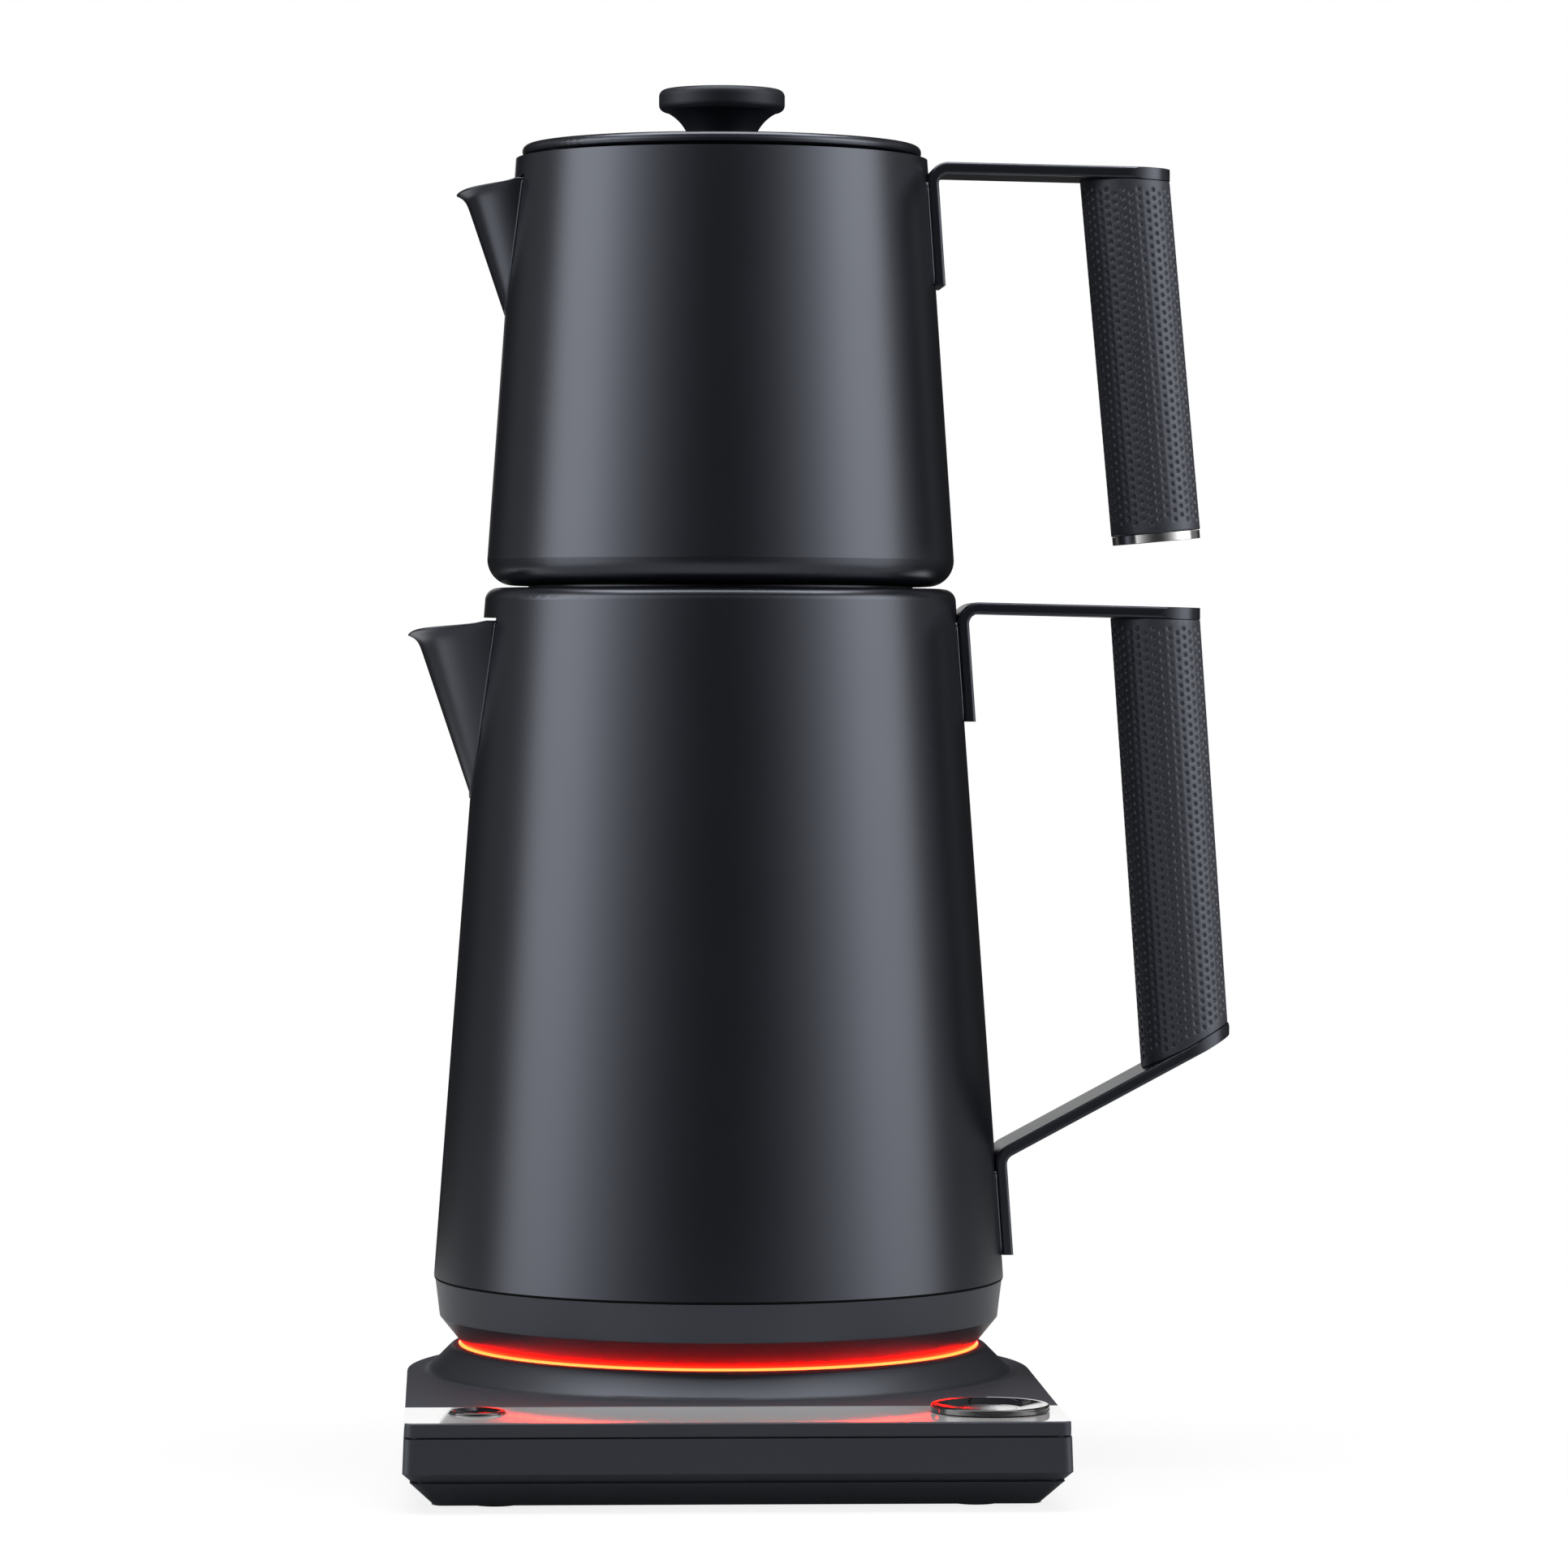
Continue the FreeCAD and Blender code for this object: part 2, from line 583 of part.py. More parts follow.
def pedestal_section():
    """Half section of the pedestal: hollow foot, cone, rounded edge, light ring's bed and seat."""
    foot = d.pedestal_foot_fillet * tangent(PEDESTAL_ANGLE / 2)
    edge = d.pedestal_edge_fillet * tangent(PEDESTAL_ANGLE / 2)
    slope = cosine(PEDESTAL_ANGLE)
    rim_radius = d.pedestal_foot_radius - (d.pedestal_top - d.deck_top)
    bed_outer = d.ring_outer + d.ring_play
    bed_inner = d.ring_outer - d.ring_width - d.ring_play
    seat_bottom = d.seat_top - d.seat_thickness
    bed_bottom = d.ring_bed - d.bed_thickness
    inner_foot = d.pedestal_foot_radius - d.pedestal_wall
    return [
        (d.pedestal_foot_radius + foot, DECK_BOTTOM),
        (d.pedestal_foot_radius + foot, d.deck_top, -d.pedestal_foot_fillet),
        (d.pedestal_foot_radius - foot * slope, d.deck_top + foot * slope),
        (rim_radius + edge * slope, d.pedestal_top - edge * slope, d.pedestal_edge_fillet),
        (rim_radius - edge, d.pedestal_top),
        (bed_outer, d.pedestal_top),
        (bed_outer, d.ring_bed),
        (bed_inner, d.ring_bed),
        (bed_inner, d.seat_top),
        (d.connector_hole, d.seat_top),
        (d.connector_hole, seat_bottom),
        (bed_inner - d.bed_thickness, seat_bottom),
        (bed_inner - d.bed_thickness, bed_bottom),
        (rim_radius, bed_bottom),
        (inner_foot, d.deck_top - d.panel_thickness),
        (inner_foot, DECK_BOTTOM),
    ]


def make_deck():
    body = new_body("base_deck")
    plate = outline(body, "XY_Plane", d_outline(d.deck_inset), DECK_BOTTOM)
    add_circle(plate, 0.0, 0.0, d.pedestal_foot_radius - d.pedestal_wall)
    pad(body, plate, d.deck_top - DECK_BOTTOM)
    round_top(body, d.deck_top, d.deck_edge)
    turn(body, pedestal_section())
    pad(body, circles(body, BOSS_PLACES[:2], d.boss_radius, d.tray_top), d.deck_top + BOSS_ROOT - d.tray_top)
    pad(body, circles(body, BOSS_PLACES[2:], d.boss_radius, d.tray_top), DECK_BOTTOM - d.tray_top)
    board_top = d.board_thickness + CONTROL_BOARD_LEVEL
    pad(body, circles(body, STANDOFF_PLACES, STANDOFF_RADIUS, board_top), DECK_BOTTOM - board_top)
    strip = rectangle(-PROBE * 2, PROBE * 2, d.panel_rim + d.deck_inset - d.base_front, -d.panel_back)
    pocket(body, outline(body, "XY_Plane", strip, d.deck_top), d.panel_thickness)
    pocket(body, circles(body, [DIAL_PLACE], d.shaft_radius + SHAFT_HOLE_PLAY, d.deck_top), PROBE)
    pocket(body, circles(body, [BUTTON_PLACE], d.button_radius + d.button_play, d.deck_top), PROBE)
    pocket(body, circles(body, BOSS_PLACES, d.screw_radius, d.tray_top), d.screw_length, up=True)
    middle = d.ring_outer - d.ring_width / 2
    leds = circles(body, on_circle(middle, LED_COUNT), d.led_radius + d.led_hole_play, d.ring_bed)
    pocket(body, leds, d.bed_thickness + OVERRUN)


def make_panel():
    body = new_body("control_panel")
    half = d.base_half_width - d.deck_inset
    front = d.base_front - d.deck_inset - d.panel_rim
    corner = d.base_corner
    points = [
        (half, -d.panel_back),
        (-half, -d.panel_back),
        (-half, corner - front, corner),
        (corner - half, -front),
        (half - corner, -front, corner),
        (half, corner - front),
    ]
    plate = outline(body, "XY_Plane", points, d.deck_top - d.panel_thickness)
    add_circle(plate, *DIAL_PLACE, d.shaft_radius + SHAFT_HOLE_PLAY)
    add_circle(plate, *BUTTON_PLACE, d.button_radius + d.button_play)
    pad(body, plate, d.panel_thickness)


def make_base_screws():
    body = new_body("base_screws")
    pad(body, circles(body, BOSS_PLACES, d.screw_head_radius, d.foot_height), d.screw_head_height)
    top = d.foot_height + d.screw_head_height
    pad(body, circles(body, BOSS_PLACES, d.screw_radius, top), d.screw_length)


def make_light():
    ring = new_body("light_ring")
    inner = d.ring_outer - d.ring_width
    lip_top = d.pedestal_top + d.ring_lip
    turn(ring, [
        (inner, d.ring_bed),
        (d.ring_outer, d.ring_bed),
        (d.ring_outer, d.pedestal_top),
        (d.ring_lip_radius, d.pedestal_top),
        (d.ring_lip_radius, lip_top),
        (d.ring_outer, lip_top),
        (d.ring_outer, d.ring_top),
        (inner, d.ring_top),
    ])
    board = new_body("led_board")
    bed_bottom = d.ring_bed - d.bed_thickness
    turn(board, rectangle(inner, d.ring_outer, bed_bottom - d.board_thickness, bed_bottom))
    leds = new_body("leds")
    places = on_circle(d.ring_outer - d.ring_width / 2, LED_COUNT)
    pad(leds, circles(leds, places, d.led_radius, bed_bottom), d.led_height)


def make_electronics():
    power = new_body("power_board")
    plan = outline(power, "XY_Plane", rectangle(*POWER_BOARD_PLAN), POWER_BOARD_LEVEL)
    pad(power, plan, d.board_thickness)
    relay = new_body("relay")
    board_top = d.board_thickness + POWER_BOARD_LEVEL
    pad(relay, outline(relay, "XY_Plane", rectangle(*RELAY_PLAN), board_top), RELAY_HEIGHT)
    board = new_body("control_board")
    plan = outline(board, "XY_Plane", rectangle(*CONTROL_BOARD_PLAN), CONTROL_BOARD_LEVEL)
    pad(board, plan, d.board_thickness)
    board_top = d.board_thickness + CONTROL_BOARD_LEVEL
    encoder = new_body("rotary_encoder")
    half = ENCODER_HALF
    square = rectangle(d.dial_x - half, d.dial_x + half, -d.dial_y - half, half - d.dial_y)
    pad(encoder, outline(encoder, "XY_Plane", square, board_top), ENCODER_HEIGHT)
    bore = circles(encoder, [DIAL_PLACE], d.shaft_radius + d.shaft_play, board_top + ENCODER_HEIGHT)
    pocket(encoder, bore, ENCODER_BORE)
    switch = new_body("tact_switch")
    half = SWITCH_HALF
    square = rectangle(-d.button_x - half, half - d.button_x, -d.button_y - half, half - d.button_y)
    pad(switch, outline(switch, "XY_Plane", square, board_top), SWITCH_HEIGHT)


CONNECTOR_FLANGE = 1.6
CONNECTOR_EDGE = 1.0
CONTACT_SETBACK = 1.5


def make_connector():
    seat_bottom = d.seat_top - d.seat_thickness
    boss = new_body("power_connector")
    turn(boss, [
        (0.0, seat_bottom - CONNECTOR_FLANGE),
        (d.connector_flange, seat_bottom - CONNECTOR_FLANGE),
        (d.connector_flange, seat_bottom),
        (d.connector_radius, seat_bottom),
        (d.connector_radius, d.connector_top - CONNECTOR_EDGE, CONNECTOR_EDGE),
        (d.connector_radius - CONNECTOR_EDGE, d.connector_top),
        (d.groove_outer, d.connector_top),
        (d.groove_outer, d.contact_floor),
        (d.groove_inner, d.contact_floor),
        (d.groove_inner, d.connector_top),
        (d.pin_hole, d.connector_top),
        (d.pin_hole, d.contact_floor),
        (0.0, d.contact_floor),
    ])
    sleeves = new_body("base_contacts")
    top = d.connector_top - CONTACT_SETBACK
    turn(sleeves, rectangle(d.pin_hole - d.sleeve_wall, d.pin_hole, d.contact_floor, top))
    turn(sleeves, rectangle(d.groove_outer - d.sleeve_wall, d.groove_outer, d.contact_floor, top))


DIAL_BEVEL = 0.2
DIAL_EDGE = 0.5
DIAL_RIM = 1.3
DIAL_LEDGE = 1.0
CAP_BEVEL = 0.15


def make_dial():
    low = d.deck_top + d.dial_gap
    top = low + d.dial_height
    dish = top - d.dial_dish
    dial = new_body("dial")
    turn(dial, [
        (0.0, low),
        (d.dial_radius - DIAL_BEVEL, low),
        (d.dial_radius, low + DIAL_BEVEL),
        (d.dial_radius, top - DIAL_EDGE, DIAL_EDGE),
        (d.dial_radius - DIAL_EDGE, top),
        (d.dial_radius - DIAL_RIM, top),
        (d.dial_cap_radius + DIAL_LEDGE, dish),
        (d.dial_cap_radius, dish),
        (d.dial_cap_radius, dish - d.dial_cap_thickness),
        (0.0, dish - d.dial_cap_thickness),
    ])
    cap = new_body("dial_cap")
    turn(cap, [
        (0.0, dish - d.dial_cap_thickness),
        (d.dial_cap_radius, dish - d.dial_cap_thickness),
        (d.dial_cap_radius, dish - CAP_BEVEL),
        (d.dial_cap_radius - CAP_BEVEL, dish),
        (0.0, dish),
    ])
    shaft = new_body("dial_shaft")
    foot = d.board_thickness + (CONTROL_BOARD_LEVEL + SHAFT_FOOT)
    turn(shaft, rectangle(0.0, d.shaft_radius, foot, low))
    for body in (dial, cap, shaft):
        body.setExpression("Placement.Base.x", DIAL_PLACE[0].text)
        body.setExpression("Placement.Base.y", DIAL_PLACE[1].text)


STEM_LENGTH = 1.6
BUTTON_EDGE = 0.4
BUTTON_RIM = 0.9
BUTTON_BOWL = 2.2


def make_button():
    body = new_body("power_button")
    top = d.deck_top + d.button_rise
    low = top - d.button_height
    dish = top - d.button_dish
    turn(body, [
        (0.0, low - STEM_LENGTH),
        (d.stem_radius, low - STEM_LENGTH),
        (d.stem_radius, low),
        (d.button_radius, low),
        (d.button_radius, top - BUTTON_EDGE, BUTTON_EDGE),
        (d.button_radius - BUTTON_EDGE, top),
        (d.button_radius - BUTTON_RIM, top),
        (d.button_radius - BUTTON_BOWL, dish),
        (0.0, dish),
    ])
    body.setExpression("Placement.Base.x", BUTTON_PLACE[0].text)
    body.setExpression("Placement.Base.y", BUTTON_PLACE[1].text)


# Kettle

def kettle_radius(height):
    """Outer radius of the kettle body at a height."""
    return d.kettle_radius - d.kettle_taper * (height - d.seam)


def kettle_cone():
    """Half section of the space that the kettle body stands in."""
    top = d.kettle_top + PROBE
    return [(0.0, d.seam), (d.kettle_radius, d.seam), (kettle_radius(top), top), (0.0, top)]


SPOUT_RUNOUT = 4.0
SPOUT_OVERRUN = 1.0
SPOUT_REACH = 40.0
SPOUT_AHEAD = 10.0
SPOUT_HEADROOM = 20.0


def spout_stations(name):
    """Centre and radius of the spout's round section at its point, its bend and above its lip.

    The back of the cone runs along the wall, inside the body, and its front is the spout's ridge.
    """
    point_x = getattr(d, f"{name}_spout_point_x")
    point_z = getattr(d, f"{name}_spout_point_z")
    bend_x = getattr(d, f"{name}_spout_bend_x")
    bend_z = getattr(d, f"{name}_spout_bend_z")
    tip_x = getattr(d, f"{name}_spout_tip_x")
    tip_z = getattr(d, f"{name}_spout_tip_z")
    root_z = getattr(d, f"{name}_spout_root_z")
    taper = getattr(d, f"{name}_taper")
    depth = getattr(d, f"{name}_spout_depth")
    slope = (bend_x - point_x) / (bend_z - point_z)
    flare = (tip_x - bend_x) / (tip_z - bend_z)
    low_z = point_z - SPOUT_RUNOUT
    high_z = root_z + SPOUT_OVERRUN
    fronts = [
        (low_z, point_x - slope * (point_z - low_z)),
        (bend_z, bend_x),
        (high_z, bend_x + flare * (high_z - bend_z)),
    ]
    stations = []
    for height, front in fronts:
        back = point_x - depth - taper * (height - point_z)
        stations.append((height, (front + back) / 2, (front - back) / 2))
    return stations


def spout_bore(body, name):
    """Cut the spout's channel, which also opens the wall behind it."""
    stations = spout_stations(name)
    sections = []
    for height, centre, radius in stations:
        sections.append(circles(body, [(-centre, 0.0)], radius - d.spout_wall, height))
    loft(body, sections, "PartDesign::SubtractiveLoft")


def make_spout(label, name, body_section):
    """A spout: tapered round shell cut off along the body, with a sloping top edge."""
    body = new_body(label)
    stations = spout_stations(name)
    loft(body, [circles(body, [(-centre, 0.0)], radius, height) for height, centre, radius in stations])
    spout_bore(body, name)
    tip_x = getattr(d, f"{name}_spout_tip_x")
    tip_z = getattr(d, f"{name}_spout_tip_z")
    root_z = getattr(d, f"{name}_spout_root_z")
    inner = tip_x - SPOUT_REACH
    outer = tip_x + SPOUT_AHEAD
    fall = (root_z - tip_z) / (tip_x - stations[0][1])
    above = [
        (-outer, tip_z - fall * SPOUT_AHEAD),
        (-inner, tip_z + fall * SPOUT_REACH),
        (-inner, root_z + SPOUT_HEADROOM),
        (-outer, root_z + SPOUT_HEADROOM),
    ]
    pocket(body, outline(body, "XZ_Plane", above), PROBE, "Symmetric")
    groove(body, body_section)


def make_kettle_body():
    body = new_body("kettle_body")
    wall = d.kettle_wall
    turn_start = d.kettle_top - d.kettle_shoulder
    shoulder = kettle_radius(turn_start)
    turn(body, [
        (d.kettle_radius, d.seam),
        (shoulder, turn_start, d.kettle_shoulder),
        (shoulder - d.kettle_shoulder, d.kettle_top),
        (d.kettle_mouth, d.kettle_top),
        (d.kettle_mouth, d.kettle_top - d.kettle_neck),
        (d.kettle_mouth + wall, d.kettle_top - d.kettle_neck),
        (d.kettle_mouth + wall, d.kettle_top - wall),
        (shoulder - d.kettle_shoulder, d.kettle_top - wall, wall - d.kettle_shoulder),
        (shoulder - wall, turn_start),
        (d.kettle_radius - wall, d.seam),
    ])
    spout_bore(body, "kettle")


LIP_PLAY = 0.5
COLLAR_KNEE_INSIDE = 1.0
COLLAR_FOOT_INSIDE = 1.8
COLLAR_HEAD_RECESS = 1.5
COLLAR_HEAD = 1.4
STUD_START = 30.0


def make_collar():
    body = new_body("kettle_collar")
    ledge = d.collar_bottom + d.collar_wall
    inside = d.collar_top_radius - d.collar_wall
    lip = d.kettle_radius - d.kettle_wall - LIP_PLAY
    turn(body, [
        (d.collar_hole, d.collar_bottom),
        (d.collar_bottom_radius, d.collar_bottom),
        (d.collar_knee_radius, d.collar_knee),
        (d.collar_top_radius, d.seam),
        (lip, d.seam),
        (lip, d.seam + d.collar_lip),
        (inside, d.seam + d.collar_lip),
        (inside, d.collar_knee + COLLAR_KNEE_INSIDE),
        (d.collar_bottom_radius - COLLAR_FOOT_INSIDE, ledge),
        (d.collar_hole, ledge),
    ])
    places = on_circle(d.stud_circle, STUD_COUNT, STUD_START)
    heads = circles(body, places, d.screw_head_radius, d.collar_bottom)
    pocket(body, heads, COLLAR_HEAD_RECESS, up=True)
    pocket(body, circles(body, places, d.screw_radius, d.collar_bottom), d.collar_wall + OVERRUN, up=True)


FLOOR_PLAY = 0.05
THERMOSTAT_PLACE = (0.0, 28.0)
THERMOSTAT_RADIUS = 7.0
THERMOSTAT_HEIGHT = 3.6


def make_kettle_inside():
    studs = on_circle(d.stud_circle, STUD_COUNT, STUD_START)
    under_low = d.collar_bottom + d.collar_wall
    under_top = under_low + d.underplate_thickness
    floor = new_body("kettle_floor")
    rim = kettle_radius(d.floor_level + d.floor_thickness) - d.kettle_wall - FLOOR_PLAY
    turn(floor, rectangle(0.0, rim, d.floor_level, d.floor_level + d.floor_thickness))
    pad(floor, circles(floor, studs, d.stud_radius, under_top), d.floor_level - under_top)
    pocket(floor, circles(floor, studs, d.screw_radius, under_top), d.screw_length, up=True)
    plate = new_body("element_plate")
    plate_low = d.floor_level - d.element_plate_thickness
    turn(plate, rectangle(0.0, d.element_plate_radius, plate_low, d.floor_level))
    element = new_body("heating_element")
    half = d.element_width / 2
    low = plate_low - d.element_height
    section = rectangle(d.element_radius - half, d.element_radius + half, low, plate_low)
    turn(element, section, angle=d.element_sweep)
    sensor = new_body("thermostat")
    foot = plate_low - THERMOSTAT_HEIGHT
    pad(sensor, circles(sensor, [THERMOSTAT_PLACE], THERMOSTAT_RADIUS, foot), THERMOSTAT_HEIGHT)
    under = new_body("kettle_underplate")
    hole = d.socket_radius + d.socket_play
    turn(under, rectangle(hole, d.underplate_radius, under_low, under_top))
    pocket(under, circles(under, studs, d.screw_radius, under_low), PROBE, up=True)
    screws = new_body("collar_screws")
    seat = d.collar_bottom + COLLAR_HEAD_RECESS
    pad(screws, circles(screws, studs, d.screw_head_radius, seat - COLLAR_HEAD), COLLAR_HEAD)
    pad(screws, circles(screws, studs, d.screw_radius, seat), d.screw_length)


SOCKET_HEADROOM = 2.0
PIN_PLAY = 1.0
CONTACT_HALF_WALL = 0.5


def make_socket():
    socket = new_body("kettle_socket")
    inner = d.connector_radius + d.socket_play
    roof = d.connector_top + SOCKET_HEADROOM
    tip = d.contact_floor + CONTACT_SETBACK
    turn(socket, [
        (inner, d.collar_bottom),
        (d.socket_radius, d.collar_bottom),
        (d.socket_radius, d.socket_top),
        (0.0, d.socket_top),
        (0.0, roof),
        (inner, roof),
    ])
    contacts = new_body("socket_contacts")
    middle = (d.groove_inner + d.groove_outer) / 2 - d.sleeve_wall / 2
    turn(contacts, rectangle(0.0, d.pin_hole - PIN_PLAY, tip, roof))
    turn(contacts, rectangle(middle - CONTACT_HALF_WALL, middle + CONTACT_HALF_WALL, tip, roof))


# Handles

def make_strip(label, name, end, body_section):
    """A bent steel strip: a leg on the body and a straight arm, with rounded edges."""
    body = new_body(label)
    foot = (getattr(d, f"{name}_leg_x"), getattr(d, f"{name}_leg_z"))
    corner = (getattr(d, f"{name}_bend_x"), getattr(d, f"{name}_bend_z"))
    tip = (getattr(d, f"{end}_x"), getattr(d, f"{end}_z"))
    path = new_sketch(body, "XZ_Plane", 0)
    start, bend, finish = flat(*foot), flat(*corner), flat(*tip)
    along = bend - start
    away = finish - bend
    along.normalize()
    away.normalize()
    opening = math.pi - along.getAngle(away)
    reach = d.strip_bend.value / math.tan(opening / 2)
    first, last = bend - along * reach, bend + away * reach
    leg = path.addGeometry(Part.LineSegment(start, first), False)
    curve = path.addGeometry(arc_between(first, last, -d.strip_bend.value), False)
    arm = path.addGeometry(Part.LineSegment(last, finish), False)
    mark = path.addGeometry(Part.Point(bend), True)
    pin_point(path, leg, 1, *foot)
    pin_point(path, arm, 2, *tip)
    pin_point(path, mark, 1, *corner)
    path.addConstraint([
        Sketcher.Constraint("PointOnObject", mark, 1, leg),
        Sketcher.Constraint("PointOnObject", mark, 1, arm),
        Sketcher.Constraint("Tangent", leg, 2, curve, 2),
        Sketcher.Constraint("Tangent", arm, 1, curve, 1),
    ])
    bind(path, Sketcher.Constraint("Radius", curve, d.strip_bend.value), d.strip_bend)
    half = d.strip_width / 2
    thin = d.strip_thickness / 2
    edge = d.strip_edge
    x = foot[0]
    section = outline(body, "XY_Plane", [
        (x - thin + edge, -half),
        (x + thin - edge, -half, edge),
        (x + thin, edge - half),
        (x + thin, half - edge, edge),
        (x + thin - edge, half),
        (x - thin + edge, half, edge),
        (x - thin, half - edge),
        (x - thin, edge - half, edge),
    ], foot[1])
    sweep = body.newObject("PartDesign::AdditivePipe", "Sweep")
    sweep.Profile = section
    sweep.Spine = (path, ["Edge1", "Edge2", "Edge3"])
    body.Tip = sweep
    round_end(body, tip[0], half)
    groove(body, body_section)


END_CUT_REACH = 20.0
END_CUT_MARGIN = 6.0


def round_end(body, end, half):
    """Round the strip's end in plan, as wide as the strip."""
    far = end + END_CUT_REACH
    wide = half + END_CUT_MARGIN
    centre = end - half
    plan = outline(body, "XY_Plane", [
        (centre, -half, half),
        (end, 0.0, half),
        (centre, half),
        (centre, wide),
        (far, wide),
        (far, -wide),
        (centre, -wide),
    ], d.kettle_top + PROBE * 3)
    pocket(body, plan, PROBE * 6)


def arm_line(name, end):
    """Slope of a strip's arm, and its height at the bend."""
    bend_x = getattr(d, f"{name}_bend_x")
    bend_z = getattr(d, f"{name}_bend_z")
    slope = (getattr(d, f"{end}_z") - bend_z) / (getattr(d, f"{end}_x") - bend_x)
    half = d.strip_thickness / 2 * root(1.0 + slope * slope)
    return bend_x, bend_z, slope, half


def above_line(x0, z0, slope):
    """Region over a sloping line, in side view."""
    right = x0 + LINE_REACH
    top = z0 + LINE_RISE
    return [(x0, z0), (right, z0 + slope * LINE_REACH), (right, top), (x0, top)]


def below_line(x0, z0, slope):
    """Region under a sloping line, in side view."""
    right = x0 + LINE_REACH
    low = z0 - LINE_DROP
    return [(x0, low), (right, low), (right, z0 + slope * LINE_REACH), (x0, z0)]


def grip_rod(body, name, radius):
    """Leaning round rod along a grip's axis, long enough to be cut at both ends."""
    top_x = getattr(d, f"{name}_grip_top_x")
    top_z = getattr(d, f"{name}_grip_top_z")
    end_x = getattr(d, f"{name}_grip_end_x")
    end_z = getattr(d, f"{name}_grip_end_z")
    lean = (end_x - top_x) / (top_z - end_z)
    over = lean * ROD_OVERRUN
    return [
        circles(body, [(end_x + over, 0.0)], radius, end_z - ROD_OVERRUN),
        circles(body, [(top_x - over, 0.0)], radius, top_z + ROD_OVERRUN),
    ]


def teapot_end_line(rise):
    """Line square to the teapot's grip, a given way above its end, in side view."""
    lean = (d.teapot_grip_end_x - d.teapot_grip_top_x) / (d.teapot_grip_top_z - d.teapot_grip_end_z)
    x0 = d.teapot_grip_end_x - LINE_REACH / 2
    z0 = d.teapot_grip_end_z - lean * LINE_REACH / 2 + rise
    return x0, z0, lean


def cut_grip_top(body, name, end):
    bend_x, bend_z, slope, half = arm_line(name, end)
    pocket(body, outline(body, "XZ_Plane", above_line(bend_x, bend_z - half, slope)), PROBE, "Symmetric")


def cut_grip_end(body, line):
    pocket(body, outline(body, "XZ_Plane", below_line(*line)), PROBE, "Symmetric")


def kettle_end_line():
    """Upper face of the kettle's lower strip, in side view."""
    bend_x, bend_z, slope, half = arm_line("lower", "lower_end")
    start = d.strip_width / 2
    return bend_x + start, bend_z + half + slope * start, slope


def make_grip(label, name, end, end_line):
    body = new_body(label)
    loft(body, grip_rod(body, name, d.grip_radius))
    loft(body, grip_rod(body, name, d.core_radius), "PartDesign::SubtractiveLoft")
    cut_grip_top(body, name, end)
    cut_grip_end(body, end_line)


def make_core(label, name, end, end_line):
    body = new_body(label)
    loft(body, grip_rod(body, name, d.core_radius))
    loft(body, grip_rod(body, name, d.screw_radius), "PartDesign::SubtractiveLoft")
    cut_grip_top(body, name, end)
    cut_grip_end(body, end_line)


def make_handles():
    make_strip("teapot_bracket", "teapot", "teapot_arm", teapot_cone())
    grip_end = teapot_end_line(d.cap_height + d.cap_gap)
    make_grip("teapot_grip", "teapot", "teapot_arm", grip_end)
    make_core("teapot_grip_core", "teapot", "teapot_arm", teapot_end_line(d.cap_height))
    make_cap()
    make_strip("kettle_upper_strip", "kettle", "kettle_arm", kettle_cone())
    make_strip("kettle_lower_strip", "lower", "lower_end", kettle_cone())
    make_grip("kettle_grip", "kettle", "kettle_arm", kettle_end_line())
    make_core("kettle_grip_core", "kettle", "kettle_arm", kettle_end_line())


def make_cap():
    """Polished end cap of the teapot's grip, with its screw hole."""
    body = new_body("teapot_grip_cap")
    loft(body, grip_rod(body, "teapot", d.cap_radius))
    loft(body, grip_rod(body, "teapot", d.screw_radius), "PartDesign::SubtractiveLoft")
    x0, z0, lean = teapot_end_line(d.cap_height)
    pocket(body, outline(body, "XZ_Plane", above_line(x0, z0, lean)), PROBE, "Symmetric")
    cut_grip_end(body, teapot_end_line(0.0))
    pin = new_body("teapot_grip_screw")
    loft(pin, grip_rod(pin, "teapot", d.screw_radius))
    x0, z0, lean = teapot_end_line(d.screw_length)
    pocket(pin, outline(pin, "XZ_Plane", above_line(x0, z0, lean)), PROBE, "Symmetric")
    cut_grip_end(pin, teapot_end_line(0.0))


# Teapot

def teapot_radius(height):
    """Outer radius of the teapot at a height."""
    return d.teapot_radius - d.teapot_taper * (height - d.teapot_bottom)


def teapot_cone():
    """Half section of the space that the teapot stands in."""
    top = d.teapot_top + PROBE
    return [(0.0, d.teapot_bottom), (d.teapot_radius, d.teapot_bottom), (teapot_radius(top), top), (0.0, top)]


def make_teapot():
    body = new_body("teapot_body")
    wall = d.teapot_wall
    step = d.teapot_bottom - d.teapot_step
    corner = d.teapot_corner
    rise = d.teapot_bottom + corner
    side = teapot_radius(rise)
    turn(body, [
        (0.0, step),
        (d.teapot_step_radius, step),
        (d.teapot_step_radius, d.teapot_bottom),
        (side - corner, d.teapot_bottom, corner),
        (side, rise),
        (teapot_radius(d.teapot_top), d.teapot_top),
        (teapot_radius(d.teapot_top) - wall, d.teapot_top),
        (side - wall, rise, wall - corner),
        (side - corner, d.teapot_bottom + wall),
        (d.teapot_step_radius - wall, d.teapot_bottom + wall),
        (d.teapot_step_radius - wall, step + wall),
        (0.0, step + wall),
    ])
    spout_bore(body, "teapot")
    make_spout("teapot_spout", "teapot", teapot_cone())


STRAINER_MARGIN = 3.0
STRAINER_CUT = 20.0


